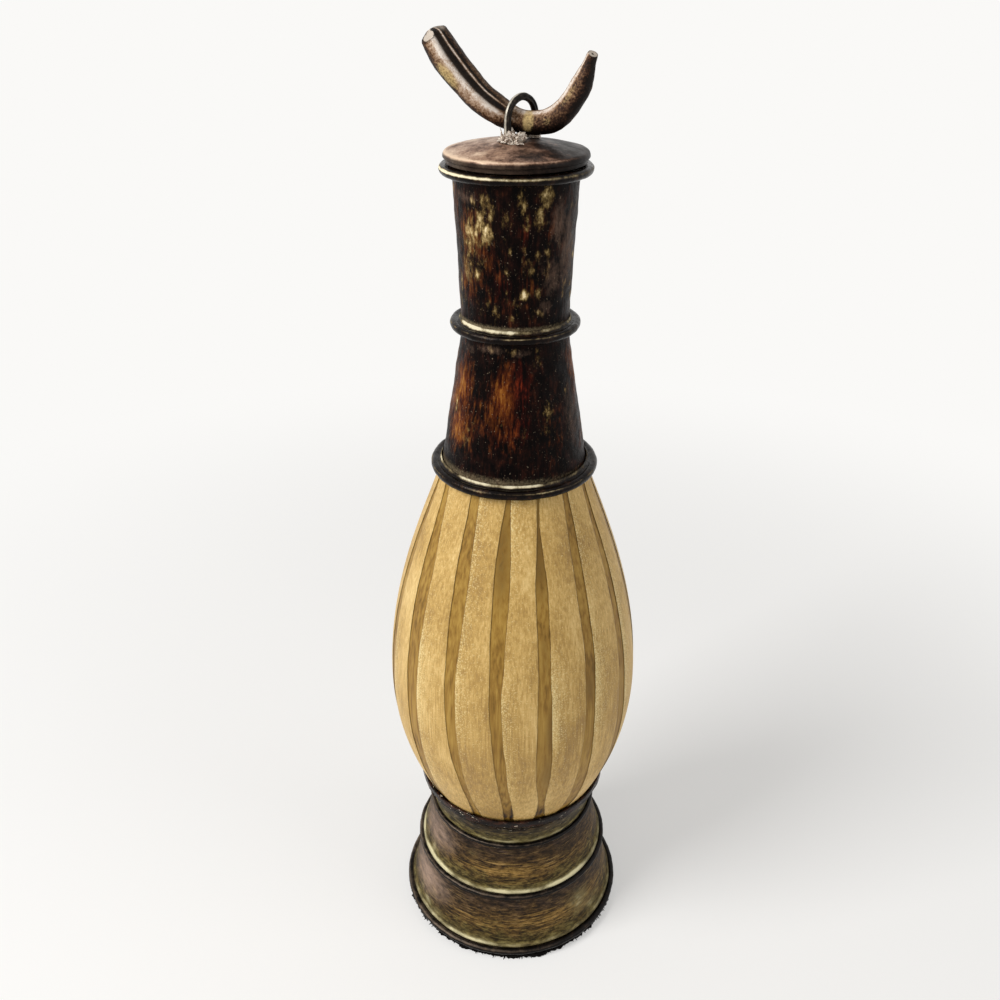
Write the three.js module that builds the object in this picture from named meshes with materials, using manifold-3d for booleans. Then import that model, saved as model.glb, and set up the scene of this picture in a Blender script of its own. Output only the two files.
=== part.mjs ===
// A tall decanter: stepped base, body laid with veneer strips, ringed neck, lid with a horn handle.
// Millimetres, +Z up, the photographed side faces -Y, the table is at z = 0.
import * as THREE from 'three';
import { mergeVertices } from 'three/addons/utils/BufferGeometryUtils.js';
import Module from 'manifold-3d';

// Fineness of the facets
const ROUND_FACETS = 32;
const WIRE_FACETS = 8;
const CURVE_STEPS = 3;

// Clearance between pieces that touch
const GAP = 0.3;

// Felt pad and the three tiers of the base
const FELT_RADIUS = 59;
const FELT_THICKNESS = 2.6;
const LOWER_TIER_HEIGHT = 34;
const LOWER_TIER_FOOT_RADIUS = 57.3;
const LOWER_TIER_TOP_RADIUS = 50.2;
const LOWER_HOOP_WIRE_RADIUS = 1.7;
const MIDDLE_TIER_HEIGHT = 30.6;
const MIDDLE_TIER_SETBACK = 0.1;
const MIDDLE_TIER_TOP_RADIUS = 43.4;
const MIDDLE_HOOP_WIRE_RADIUS = 1.4;
const COLLAR_HEIGHT = 24.1;
const COLLAR_SETBACK = 0.4;
const COLLAR_HOOP_WIRE_RADIUS = 1.2;
const COLLAR_WALL = 3.4;
const COLLAR_WAIST_HEIGHT = 9.5;
const COLLAR_LIP_WALL = 1.3;
const COLLAR_LIP_BAND = 3.6;
const COLLAR_FLOOR = 10.6;
const HOOP_LIFT = 0.4;
const COVE_LEDGE = 0.8;
const COVE_HEIGHT = 5;
const COVE_DEPTH = 1.9;

// Tenons that centre the tiers, and the bolt through them
const TENON_RADIUS = 22;
const TENON_HEIGHT = 5;
const BOLT_RADIUS = 3;
const BOLT_HEAD_RADIUS = 5.5;
const BOLT_HEAD_HEIGHT = 3.6;
const BOLT_GRIP_IN_BODY = 9;
const WASHER_RADIUS = 7.5;
const WASHER_THICKNESS = 1.2;
const RECESS_SLACK = 1;
const BOLT_FACETS = 16;

// Body: foot, belly and shoulder of its outer skin, with the pull of the curve at each
const BODY_HEIGHT = 197;
const BODY_FOOT_RADIUS = 40.3;
const BODY_BELLY_RADIUS = 62.8;
const BODY_BELLY_HEIGHT = 76.2;
const BODY_SHOULDER_RADIUS = 34.2;
const FOOT_PULL = 30.5;
const FOOT_FLARE = 0.64;
const BELLY_PULL_DOWN = 15.3;
const BELLY_PULL_UP = 59.1;
const SHOULDER_PULL = 15.4;
const SHOULDER_FLARE = 0.18;
const BODY_WALL = 4.5;
const BODY_FLOOR = 13;
const SPIGOT_HEIGHT = 10;
const SPIGOT_WALL = 3;

// Veneer strips and the brown stripes left between them
const STRIP_COUNT = 16;
const STRIP_THICKNESS = 1.2;
const STRIP_STEPS = 10;
const STRIP_FACETS = 2;
const STRIP_SINK = 4;
const STRIP_TOP_MARGIN = 2.2;
const STRIPE_TOP_WIDTH = 2;
const STRIPE_BELLY_WIDTH = 6.8;
const STRIPE_BOTTOM_WIDTH = 4;
const FIRST_STRIPE_DEG = 13.7;
const HAND_SPREAD_DEG = 0.8;

// Neck sleeves and their ferrules
const LOWER_NECK_LENGTH = 65;
const UPPER_NECK_LENGTH = 68.3;
const SHOULDER_STEP = 0.7;
const NECK_FOOT_WALL = 3.2;
const NECK_BORE_RADIUS = 18.8;
const NECK_JOINT_WALL = 2.6;
const SLEEVE_WALL = 1.6;
const SLEEVE_LENGTH = 18;
const MOUTH_BORE_RADIUS = 20.8;
const MOUTH_WALL = 5.4;
const MOUTH_SPARE_DEPTH = 6;
const SHOULDER_BEAD_RADIUS = 2.2;
const SHOULDER_BEAD_REACH = 2.7;
const MID_BEAD_RADIUS = 1.95;
const MID_BEAD_REACH = 2.6;
const LIP_BEAD_RADIUS = 1.9;
const LIP_BEAD_REACH = 3.2;
const FERRULE_COVE = 3.4;
const BEAD_TOP_DEG = 125;

// Lid with its plug and cork sleeve
const LID_RADIUS = 29.9;
const LID_EDGE_HEIGHT = 2.5;
const LID_RISE = 6.2;
const LID_ROUNDING = 2.3;
const LID_UNDERCUT = 1.1;
const PLUG_HEAD_HEIGHT = 6;
const PLUG_LENGTH = 32;
const CORK_LENGTH = 20;
const CORK_WALL = 1.6;

// Wire loop on the lid and its lumps of solder
const LOOP_WIRE_RADIUS = 1.45;
const LOOP_CENTRE_X = 2;
const LOOP_CENTRE_HEIGHT = 7.7;
const LOOP_TURN_DEG = 47;
const LOOP_GRIP_IN_PLUG = 8;
const LOOP_STEPS = 20;
const SOLDER_RADIUS = 5.2;
const SOLDER_HEIGHT = 4.6;
const SOLDER_FACETS = 10;
const SOLDER_LUMP_SHARE = 0.16;
const SOLDER_LUMP_COUNT = 5;

// Horn: reach of its two ends from the loop, seen square on, heights above the lid's top, and the
// places between them as shares of the reach and height of their end
const HORN_YAW_DEG = -8;
const HORN_AXIS_HEIGHT = 7.3;
const HORN_SAG = 0.6;
const HORN_BUTT_REACH = 34.9;
const HORN_BUTT_HEIGHT = 38.2;
const HORN_TIP_REACH = 27.4;
const HORN_TIP_HEIGHT = 31.6;
const HORN_BUTT_RADIUS = 5.7;
const HORN_THICK_RADIUS = 6.4;
const HORN_ARM_RADIUS = 5.8;
const HORN_WAIST_RADIUS = 4.5;
const HORN_BEND_RADIUS = 4.8;
const HORN_TAPER_RADIUS = 4.5;
const HORN_TIP_RADIUS = 1.9;
const HORN_SLACK = 0.75;
const HORN_ROLL_CLEARANCE = 1.3;
const HORN_STEPS = 22;
const HORN_FACETS = 14;
const HORN_GROOVE_SHARE = 0.16;
const HORN_GROOVE_DEG = 27;
const HORN_GROOVE_WIDTH_DEG = 17;
const HORN_GROOVE_END = 0.5;
const HORN_GROOVE_FADE = 0.15;
const HORN_THICK_OUT_SHARE = 0.822;
const HORN_THICK_UP_SHARE = 0.754;
const HORN_ARM_OUT_SHARE = 0.415;
const HORN_ARM_UP_SHARE = 0.366;
const HORN_BEND_OUT_SHARE = 0.474;
const HORN_BEND_UP_SHARE = 0.247;
const HORN_TAPER_OUT_SHARE = 0.814;
const HORN_TAPER_UP_SHARE = 0.579;

// Colours and finishes seen in the photo
const BRONZE = { color: 0x5a4326, roughness: 0.55, metalness: 0.35 };
const BLACKENED = { color: 0x14100d, roughness: 0.4, metalness: 0.6 };
const FELT = { color: 0x0d0c0c, roughness: 1, metalness: 0 };
const CORE_BROWN = { color: 0x9a7a3e, roughness: 0.75, metalness: 0 };
const PALE_VENEER = { color: 0xd2b878, roughness: 0.7, metalness: 0 };
const LACQUER = { color: 0x2a1810, roughness: 0.3, metalness: 0.1 };
const COPPERED = { color: 0x6b4a40, roughness: 0.5, metalness: 0.4 };
const HORN_BRONZE = { color: 0x8c6b45, roughness: 0.45, metalness: 0.35 };
const DARK_WIRE = { color: 0x3a3128, roughness: 0.35, metalness: 0.8 };
const SOLDER = { color: 0xc9c2b0, roughness: 0.4, metalness: 0.6 };
const STEEL = { color: 0x8d9094, roughness: 0.4, metalness: 0.9 };
const CORK = { color: 0xb58a5a, roughness: 0.9, metalness: 0 };
const TURNED_WOOD = { color: 0x7a5a38, roughness: 0.7, metalness: 0 };

const wasm = await Module();
wasm.setup();
const decanter = new THREE.Group();

// Adds a named piece with its own material to a group
function addPiece(name, geometry, finish, group = decanter) {
  const mesh = new THREE.Mesh(geometry, new THREE.MeshStandardMaterial(finish));
  mesh.name = name;
  group.add(mesh);
  return mesh;
}

// Turns a closed outline of [radius, height] pairs round the Z axis
function turned(outline, facets = ROUND_FACETS) {
  const points = outline.map(([radius, height]) => new THREE.Vector2(radius, height));
  const onAxis = points[0].x === 0 && points[points.length - 1].x === 0;
  if (!onAxis) points.push(points[0].clone());
  return new THREE.LatheGeometry(points, facets).rotateX(Math.PI / 2);
}

// Arc of an outline round a centre, from one angle to another in degrees
function arc(radius, height, size, fromDeg, toDeg, steps) {
  const points = [];
  for (let step = 0; step <= steps; step += 1) {
    const angle = THREE.MathUtils.degToRad(fromDeg + ((toDeg - fromDeg) * step) / steps);
    points.push([radius + size * Math.cos(angle), height + size * Math.sin(angle)]);
  }
  return points;
}

// Hollow curve of an outline between two points, pulled towards a third
function cove(start, pull, end, steps = CURVE_STEPS) {
  const vectors = [start, pull, end].map(([radius, height]) => new THREE.Vector2(radius, height));
  return new THREE.QuadraticBezierCurve(...vectors).getPoints(steps).map((p) => [p.x, p.y]);
}

// Solid for cutting and joining, made from a closed geometry
function toSolid(geometry) {
  const bare = geometry.clone();
  bare.deleteAttribute('normal');
  bare.deleteAttribute('uv');
  const merged = mergeVertices(bare, 1e-4);
  const corners = Array.from(merged.index.array);
  const kept = [];
  for (let i = 0; i < corners.length; i += 3) {
    const [a, b, c] = corners.slice(i, i + 3);
    if (a !== b && b !== c && c !== a) kept.push(a, b, c);
  }
  const vertProperties = new Float32Array(merged.attributes.position.array);
  return new wasm.Manifold(new wasm.Mesh({ numProp: 3, vertProperties, triVerts: new Uint32Array(kept) }));
}

// Geometry of a solid after cutting
function toGeometry(solid) {
  const mesh = solid.getMesh();
  const geometry = new THREE.BufferGeometry();
  geometry.setAttribute('position', new THREE.BufferAttribute(mesh.vertProperties, 3));
  geometry.setIndex(new THREE.BufferAttribute(mesh.triVerts, 1));
  geometry.computeVertexNormals();
  return geometry;
}

// Closed skin over rings of points that run one after the other, with a flat cap at each end
function lofted(rings) {
  const count = rings[0].length;
  const points = rings.flat();
  const faces = [];
  for (let ring = 0; ring + 1 < rings.length; ring += 1) {
    for (let k = 0; k < count; k += 1) {
      const a = ring * count + k;
      const b = ring * count + ((k + 1) % count);
      faces.push(a, b, a + count, b, b + count, a + count);
    }
  }
  const last = (rings.length - 1) * count;
  for (let k = 1; k + 1 < count; k += 1) {
    faces.push(0, k + 1, k, last, last + k, last + k + 1);
  }
  const geometry = new THREE.BufferGeometry().setFromPoints(points);
  geometry.setIndex(faces);
  geometry.computeVertexNormals();
  return geometry;
}

// Direction round the axis, in degrees from the photographed side towards +X
function around(radius, degrees, height) {
  const angle = THREE.MathUtils.degToRad(degrees);
  return new THREE.Vector3(radius * Math.sin(angle), -radius * Math.cos(angle), height);
}

// Heights of the stack, from the table up
const lowerTierZ = FELT_THICKNESS + GAP;
const middleTierZ = lowerTierZ + LOWER_TIER_HEIGHT + GAP;
const collarZ = middleTierZ + MIDDLE_TIER_HEIGHT + GAP;
const bodyZ = collarZ + COLLAR_FLOOR + GAP;
const bodyTopZ = bodyZ + BODY_HEIGHT;
const lowerNeckZ = bodyTopZ + GAP;
const upperNeckZ = lowerNeckZ + LOWER_NECK_LENGTH + GAP;
const mouthZ = upperNeckZ + UPPER_NECK_LENGTH;
const lidZ = mouthZ + GAP;
const lidTopZ = lidZ + LID_EDGE_HEIGHT + LID_RISE;

// Felt pad, glued under the lower tier
addPiece('felt_pad', turned([
  [0, 0],
  [FELT_RADIUS, 0],
  [FELT_RADIUS, FELT_THICKNESS],
  [0, FELT_THICKNESS],
]), FELT);

// Wire hoop round the foot of a tier, and the height of its wire
function hoopHeight(tierZ, wireRadius) {
  return tierZ + HOOP_LIFT + wireRadius;
}
function addHoop(name, tierZ, footRadius, wireRadius) {
  const centre = footRadius + GAP + wireRadius;
  const section = arc(centre, hoopHeight(tierZ, wireRadius), wireRadius, 0, 360, WIRE_FACETS);
  addPiece(name, turned(section.slice(0, -1)), BLACKENED);
}

// Foot of a tier: a seat for the hoop, a ledge over it and the cove that runs up into the skirt
function tierFoot(tierZ, footRadius, wireRadius) {
  const ledgeZ = hoopHeight(tierZ, wireRadius) + wireRadius + GAP;
  const skirtRadius = footRadius + COVE_LEDGE - COVE_DEPTH;
  const curve = cove(
    [footRadius + COVE_LEDGE, ledgeZ],
    [skirtRadius, ledgeZ + COVE_HEIGHT / 3],
    [skirtRadius, ledgeZ + COVE_HEIGHT],
  );
  return [[footRadius, tierZ], [footRadius, ledgeZ - GAP], ...curve];
}

// Lower tier with the recess for the bolt's head, a skirt and a tenon on top
const boltBore = BOLT_RADIUS + GAP;
const recessRadius = WASHER_RADIUS + RECESS_SLACK;
const recessDepth = BOLT_HEAD_HEIGHT + WASHER_THICKNESS + 2 * GAP;
const recessTopZ = lowerTierZ + recessDepth;
addPiece('lower_tier', turned([
  [boltBore, recessTopZ],
  [recessRadius, recessTopZ],
  [recessRadius, lowerTierZ],
  ...tierFoot(lowerTierZ, LOWER_TIER_FOOT_RADIUS, LOWER_HOOP_WIRE_RADIUS),
  [LOWER_TIER_TOP_RADIUS, lowerTierZ + LOWER_TIER_HEIGHT],
  [TENON_RADIUS, lowerTierZ + LOWER_TIER_HEIGHT],
  [TENON_RADIUS, lowerTierZ + LOWER_TIER_HEIGHT + TENON_HEIGHT],
  [boltBore, lowerTierZ + LOWER_TIER_HEIGHT + TENON_HEIGHT],
]), BRONZE);
addHoop('lower_hoop', lowerTierZ, LOWER_TIER_FOOT_RADIUS, LOWER_HOOP_WIRE_RADIUS);

// Socket in the underside of a tier for the tenon of the tier below
function tenonSocket(tierZ) {
  const roofZ = tierZ + TENON_HEIGHT;
  return [[boltBore, roofZ], [TENON_RADIUS + GAP, roofZ], [TENON_RADIUS + GAP, tierZ]];
}

// Middle tier, smaller, socketed below and tenoned above, set back a little on the lower tier's top
const middleFootRadius = LOWER_TIER_TOP_RADIUS - MIDDLE_TIER_SETBACK;
addPiece('middle_tier', turned([
  ...tenonSocket(middleTierZ),
  ...tierFoot(middleTierZ, middleFootRadius, MIDDLE_HOOP_WIRE_RADIUS),
  [MIDDLE_TIER_TOP_RADIUS, middleTierZ + MIDDLE_TIER_HEIGHT],
  [TENON_RADIUS, middleTierZ + MIDDLE_TIER_HEIGHT],
  [TENON_RADIUS, middleTierZ + MIDDLE_TIER_HEIGHT + TENON_HEIGHT],
  [boltBore, middleTierZ + MIDDLE_TIER_HEIGHT + TENON_HEIGHT],
]), BRONZE);
addHoop('middle_hoop', middleTierZ, middleFootRadius, MIDDLE_HOOP_WIRE_RADIUS);

// Outer skin of the body: one curve from the belly down to the foot, one up to the shoulder
const bellyZ = bodyZ + BODY_BELLY_HEIGHT;
const skinBelow = new THREE.CubicBezierCurve(
  new THREE.Vector2(BODY_FOOT_RADIUS, bodyZ),
  new THREE.Vector2(BODY_FOOT_RADIUS + FOOT_FLARE * FOOT_PULL, bodyZ + FOOT_PULL),
  new THREE.Vector2(BODY_BELLY_RADIUS, bellyZ - BELLY_PULL_DOWN),
  new THREE.Vector2(BODY_BELLY_RADIUS, bellyZ),
);
const skinAbove = new THREE.CubicBezierCurve(
  new THREE.Vector2(BODY_BELLY_RADIUS, bellyZ),
  new THREE.Vector2(BODY_BELLY_RADIUS, bellyZ + BELLY_PULL_UP),
  new THREE.Vector2(BODY_SHOULDER_RADIUS + SHOULDER_FLARE * SHOULDER_PULL, bodyTopZ - SHOULDER_PULL),
  new THREE.Vector2(BODY_SHOULDER_RADIUS, bodyTopZ),
);

// Radius of the skin at a height, found by halving the curve's parameter
function skinRadius(height) {
  const curve = height < bellyZ ? skinBelow : skinAbove;
  let low = 0;
  let high = 1;
  for (let turn = 0; turn < 40; turn += 1) {
    const middle = (low + high) / 2;
    if (curve.getPoint(middle).y < height) low = middle;
    else high = middle;
  }
  return curve.getPoint(low).x;
}

// Points of the skin moved inwards, between two heights
function skinPoints(inwards, fromZ, toZ, steps) {
  const points = [];
  for (let step = 0; step <= steps; step += 1) {
    const height = fromZ + ((toZ - fromZ) * step) / steps;
    points.push([skinRadius(height) - inwards, height]);
  }
  return points;
}

// Collar cup: hoop at its foot, a waist, a flared lip, and a seat that follows the body inside
const lipZ = collarZ + COLLAR_HEIGHT;
const facetReach = 1 / Math.cos(Math.PI / ROUND_FACETS);
const seat = skinPoints(-GAP, lipZ, bodyZ, CURVE_STEPS).map(([radius, z]) => [radius * facetReach, z]);
const lipRadius = seat[0][0] + COLLAR_LIP_WALL;
const waistRadius = seat[CURVE_STEPS][0] + COLLAR_WALL;
const waistZ = collarZ + COLLAR_WAIST_HEIGHT;
const collarFootRadius = MIDDLE_TIER_TOP_RADIUS - COLLAR_SETBACK;
const collarFoot = tierFoot(collarZ, collarFootRadius, COLLAR_HOOP_WIRE_RADIUS).slice(0, 3);
addPiece('collar_cup', turned([
  ...tenonSocket(collarZ),
  ...collarFoot,
  ...cove(
    [waistRadius, waistZ],
    [waistRadius, (waistZ + lipZ - COLLAR_LIP_BAND) / 2],
    [lipRadius, lipZ - COLLAR_LIP_BAND],
  ),
  [lipRadius, lipZ - COLLAR_LIP_WALL / 2],
  [lipRadius - COLLAR_LIP_WALL / 2, lipZ],
  ...seat,
  [seat[CURVE_STEPS][0], bodyZ - GAP],
  [boltBore, bodyZ - GAP],
]), BRONZE);
addHoop('collar_hoop', collarZ, collarFootRadius, COLLAR_HOOP_WIRE_RADIUS);

// Bolt from the recess up through the tiers into the body's floor, with its washer
const washerZ = recessTopZ - GAP - WASHER_THICKNESS;
const boltHeadZ = washerZ - GAP;
const boltEndZ = bodyZ + BOLT_GRIP_IN_BODY;
addPiece('base_bolt', turned([
  [0, boltHeadZ - BOLT_HEAD_HEIGHT],
  [BOLT_HEAD_RADIUS, boltHeadZ - BOLT_HEAD_HEIGHT],
  [BOLT_HEAD_RADIUS, boltHeadZ],
  [BOLT_RADIUS, boltHeadZ],
  [BOLT_RADIUS, boltEndZ],
  [0, boltEndZ],
], BOLT_FACETS), STEEL);
addPiece('base_washer', turned([
  [boltBore, washerZ],
  [WASHER_RADIUS, washerZ],
  [WASHER_RADIUS, washerZ + WASHER_THICKNESS],
  [boltBore, washerZ + WASHER_THICKNESS],
], BOLT_FACETS), STEEL);

// Body core: a hollow turning with a thick floor and a spigot that carries the neck. Its outside
// has the same steps as the strips, so that both follow the skin alike
const stripBottomZ = lipZ - STRIP_SINK;
const stripTopZ = bodyTopZ - STRIP_TOP_MARGIN;
const coreInset = STRIP_THICKNESS + GAP;
const cavityInset = coreInset + BODY_WALL;
const neckFootRadius = BODY_SHOULDER_RADIUS - SHOULDER_STEP;
const spigotRadius = neckFootRadius - NECK_FOOT_WALL - GAP;
const cavityTopZ = bodyTopZ - BODY_WALL;
const boltHoleTopZ = boltEndZ + GAP;
addPiece('body_core', turned([
  [0, boltHoleTopZ],
  [boltBore, boltHoleTopZ],
  [boltBore, bodyZ],
  ...skinPoints(coreInset, bodyZ, stripBottomZ, 2).slice(0, -1),
  ...skinPoints(coreInset, stripBottomZ, stripTopZ, STRIP_STEPS),
  [BODY_SHOULDER_RADIUS - coreInset, bodyTopZ],
  [spigotRadius, bodyTopZ],
  [spigotRadius, bodyTopZ + SPIGOT_HEIGHT],
  [spigotRadius - SPIGOT_WALL, bodyTopZ + SPIGOT_HEIGHT],
  ...skinPoints(cavityInset, cavityTopZ, bellyZ, CURVE_STEPS + 1),
  ...skinPoints(cavityInset, bellyZ, bodyZ + BODY_FLOOR, CURVE_STEPS + 1).slice(1),
  [0, bodyZ + BODY_FLOOR],
]), CORE_BROWN);

// Veneer strips, each between two hand-spaced stripes that are widest at the belly
function stripeDegrees(index) {
  const even = FIRST_STRIPE_DEG + (360 / STRIP_COUNT) * index;
  return even + HAND_SPREAD_DEG * Math.sin(THREE.MathUtils.degToRad(even));
}
function stripeWidth(share) {
  const straight = STRIPE_BOTTOM_WIDTH + (STRIPE_TOP_WIDTH - STRIPE_BOTTOM_WIDTH) * share;
  const swell = STRIPE_BELLY_WIDTH - (STRIPE_BOTTOM_WIDTH + STRIPE_TOP_WIDTH) / 2;
  return straight + swell * 4 * share * (1 - share);
}
function stripSection(index, share) {
  const height = stripBottomZ + (stripTopZ - stripBottomZ) * share;
  const outer = skinRadius(height);
  const margin = THREE.MathUtils.radToDeg(stripeWidth(share) / 2 / outer);
  const from = stripeDegrees(index) + margin;
  const to = stripeDegrees(index + 1) - margin;
  const angles = [];
  for (let facet = 0; facet <= STRIP_FACETS; facet += 1) {
    angles.push(from + ((to - from) * facet) / STRIP_FACETS);
  }
  const outside = angles.map((degrees) => around(outer, degrees, height));
  const inside = angles.map((degrees) => around(outer - STRIP_THICKNESS, degrees, height));
  return [...outside, ...inside.reverse()];
}
for (let index = 0; index < STRIP_COUNT; index += 1) {
  const sections = [];
  for (let step = 0; step <= STRIP_STEPS; step += 1) {
    sections.push(stripSection(index, step / STRIP_STEPS));
  }
  addPiece(`veneer_strip_${String(index + 1).padStart(2, '0')}`, lofted(sections), PALE_VENEER);
}

// Lower neck sleeve: a cone that sits on the shoulder over the spigot, bored to the neck's width
const lowerNeckTopZ = lowerNeckZ + LOWER_NECK_LENGTH;
const socketZ = bodyTopZ + SPIGOT_HEIGHT + GAP;
const boreAtJoint = NECK_BORE_RADIUS + SLEEVE_WALL + GAP;
const neckJointRadius = boreAtJoint + NECK_JOINT_WALL;
const sleeveHalf = SLEEVE_LENGTH / 2;
addPiece('lower_neck', turned([
  [spigotRadius + GAP, lowerNeckZ],
  [neckFootRadius, lowerNeckZ],
  [neckJointRadius, lowerNeckTopZ],
  [boreAtJoint, lowerNeckTopZ],
  [boreAtJoint, lowerNeckTopZ - sleeveHalf - GAP],
  [NECK_BORE_RADIUS, lowerNeckTopZ - sleeveHalf - GAP],
  [spigotRadius - SPIGOT_WALL, socketZ],
  [spigotRadius + GAP, socketZ],
]), LACQUER);

// Joining sleeve inside the two neck sleeves, half in each
const joinZ = lowerNeckTopZ + GAP / 2;
addPiece('neck_joining_sleeve', turned([
  [NECK_BORE_RADIUS, joinZ - sleeveHalf],
  [boreAtJoint - GAP, joinZ - sleeveHalf],
  [boreAtJoint - GAP, joinZ + sleeveHalf],
  [NECK_BORE_RADIUS, joinZ + sleeveHalf],
]), TURNED_WOOD);

// Upper neck sleeve: flares slightly towards a wider mouth that takes the stopper
const mouthRadius = MOUTH_BORE_RADIUS + MOUTH_WALL;
const mouthFloorZ = mouthZ - PLUG_LENGTH - MOUTH_SPARE_DEPTH;
addPiece('upper_neck', turned([
  [boreAtJoint, upperNeckZ],
  [neckJointRadius, upperNeckZ],
  [mouthRadius, mouthZ],
  [MOUTH_BORE_RADIUS, mouthZ],
  [MOUTH_BORE_RADIUS, mouthFloorZ],
  [NECK_BORE_RADIUS, mouthFloorZ],
  [NECK_BORE_RADIUS, upperNeckZ + sleeveHalf + GAP],
  [boreAtJoint, upperNeckZ + sleeveHalf + GAP],
]), LACQUER);

// Ferrule: a hub round the neck with a bead, and a cove that runs from the bead up to the neck
function ferrule(hubRadius, beadZ, beadRadius, reach) {
  const beadCentre = hubRadius + reach;
  const bead = arc(beadCentre, beadZ, beadRadius, -90, BEAD_TOP_DEG, WIRE_FACETS - 1);
  const shoulder = bead[bead.length - 1];
  const hubTop = [hubRadius, beadZ + FERRULE_COVE];
  return [
    [hubRadius, beadZ - beadRadius],
    ...bead,
    ...cove(shoulder, [hubRadius + reach / 4, shoulder[1]], hubTop, 2).slice(1),
  ];
}

// Shoulder ring, standing over the top ends of the strips
const shoulderBeadZ = stripTopZ + GAP + SHOULDER_BEAD_RADIUS;
const shoulderHub = neckFootRadius + GAP;
addPiece('shoulder_ring', turned(
  ferrule(shoulderHub, shoulderBeadZ, SHOULDER_BEAD_RADIUS, SHOULDER_BEAD_REACH),
), BLACKENED);

// Mid ring, over the joint of the two neck sleeves
const midHub = neckJointRadius + 2 * GAP;
addPiece('mid_ring', turned(
  ferrule(midHub, joinZ + MID_BEAD_RADIUS, MID_BEAD_RADIUS, MID_BEAD_REACH),
), BLACKENED);

// Lip ring: a bead on a flat web round the mouth, flush with the mouth's top
const lipHub = mouthRadius + GAP;
const lipBeadZ = mouthZ - LIP_BEAD_RADIUS;
addPiece('lip_ring', turned([
  [lipHub, lipBeadZ - LIP_BEAD_RADIUS],
  ...arc(lipHub + LIP_BEAD_REACH, lipBeadZ, LIP_BEAD_RADIUS, -90, 90, WIRE_FACETS - 2),
  [lipHub, mouthZ],
]), BLACKENED);

// Lid: an undercut edge, a rounded shoulder and a shallow dome, drilled for the loop's legs
const lidEdgeZ = lidZ + LID_EDGE_HEIGHT;
const shoulderRadius = LID_RADIUS - LID_ROUNDING / 2;
const shoulderZ = lidEdgeZ + LID_ROUNDING;
function domeHeight(radius) {
  return lidTopZ - (lidTopZ - shoulderZ) * (radius / shoulderRadius) ** 2;
}
function domePoints(raised) {
  const points = [];
  for (let step = 0; step <= 2 * CURVE_STEPS; step += 1) {
    const radius = shoulderRadius * (1 - step / (2 * CURVE_STEPS));
    points.push([radius, domeHeight(radius) + raised]);
  }
  return points;
}
const lidBlank = toSolid(turned([
  [0, lidZ],
  [LID_RADIUS - LID_UNDERCUT, lidZ],
  [LID_RADIUS - LID_UNDERCUT, lidEdgeZ - LID_UNDERCUT / 2],
  ...cove([LID_RADIUS, lidEdgeZ], [LID_RADIUS, shoulderZ - LID_ROUNDING / 4], [shoulderRadius, shoulderZ], 3),
  ...domePoints(0).slice(1),
]));

// Loop: two legs and a round arch, standing across the horn
const hornYaw = THREE.MathUtils.degToRad(HORN_YAW_DEG);
const loopTurn = THREE.MathUtils.degToRad(LOOP_TURN_DEG);
const legOffset = HORN_WAIST_RADIUS + HORN_SLACK + LOOP_WIRE_RADIUS;
const loopRadius = legOffset / Math.sin(loopTurn - hornYaw);
const loopZ = lidTopZ + LOOP_CENTRE_HEIGHT;
const legEndZ = lidZ - GAP - LOOP_GRIP_IN_PLUG;
function loopPoint(across, height) {
  return new THREE.Vector3(
    LOOP_CENTRE_X + across * Math.cos(loopTurn),
    across * Math.sin(loopTurn),
    height,
  );
}
class LoopCurve extends THREE.Curve {
  getPoint(share) {
    const leg = loopZ - legEndZ;
    const run = share * (2 * leg + Math.PI * loopRadius);
    if (run < leg) return loopPoint(-loopRadius, legEndZ + run);
    const angle = (run - leg) / loopRadius;
    if (angle > Math.PI) return loopPoint(loopRadius, loopZ - (run - leg - Math.PI * loopRadius));
    return loopPoint(-loopRadius * Math.cos(angle), loopZ + loopRadius * Math.sin(angle));
  }
}
function wireSection(radius) {
  const points = arc(0, 0, radius, 0, 360, WIRE_FACETS).slice(0, -1);
  return new THREE.Shape(points.map(([x, y]) => new THREE.Vector2(x, y)));
}
function loopWire(radius) {
  const options = { steps: LOOP_STEPS, extrudePath: new LoopCurve(), bevelEnabled: false };
  return new THREE.ExtrudeGeometry(wireSection(radius), options);
}
const legHoles = toSolid(loopWire(LOOP_WIRE_RADIUS + GAP));
addPiece('lid_dome', toGeometry(lidBlank.subtract(legHoles)), COPPERED);
addPiece('lid_loop', loopWire(LOOP_WIRE_RADIUS), DARK_WIRE);

// Plug under the lid, stepped for its cork sleeve and drilled for the loop's legs
const plugHeadRadius = MOUTH_BORE_RADIUS - 2 * GAP;
const corkRadius = MOUTH_BORE_RADIUS - GAP;
const plugRadius = corkRadius - CORK_WALL - GAP;
const plugTopZ = lidZ - GAP;
const plugStepZ = plugTopZ - PLUG_HEAD_HEIGHT;
const plugBlank = toSolid(turned([
  [0, plugTopZ - PLUG_LENGTH],
  [plugRadius, plugTopZ - PLUG_LENGTH],
  [plugRadius, plugStepZ],
  [plugHeadRadius, plugStepZ],
  [plugHeadRadius, plugTopZ],
  [0, plugTopZ],
]));
const legEnds = toSolid(loopWire(LOOP_WIRE_RADIUS + GAP).translate(0, 0, -GAP));
addPiece('stopper_plug', toGeometry(plugBlank.subtract(legEnds)), TURNED_WOOD);
const corkTopZ = plugStepZ - GAP;
addPiece('stopper_cork', turned([
  [plugRadius + GAP, corkTopZ - CORK_LENGTH],
  [corkRadius, corkTopZ - CORK_LENGTH],
  [corkRadius, corkTopZ],
  [plugRadius + GAP, corkTopZ],
]), CORK);

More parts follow.
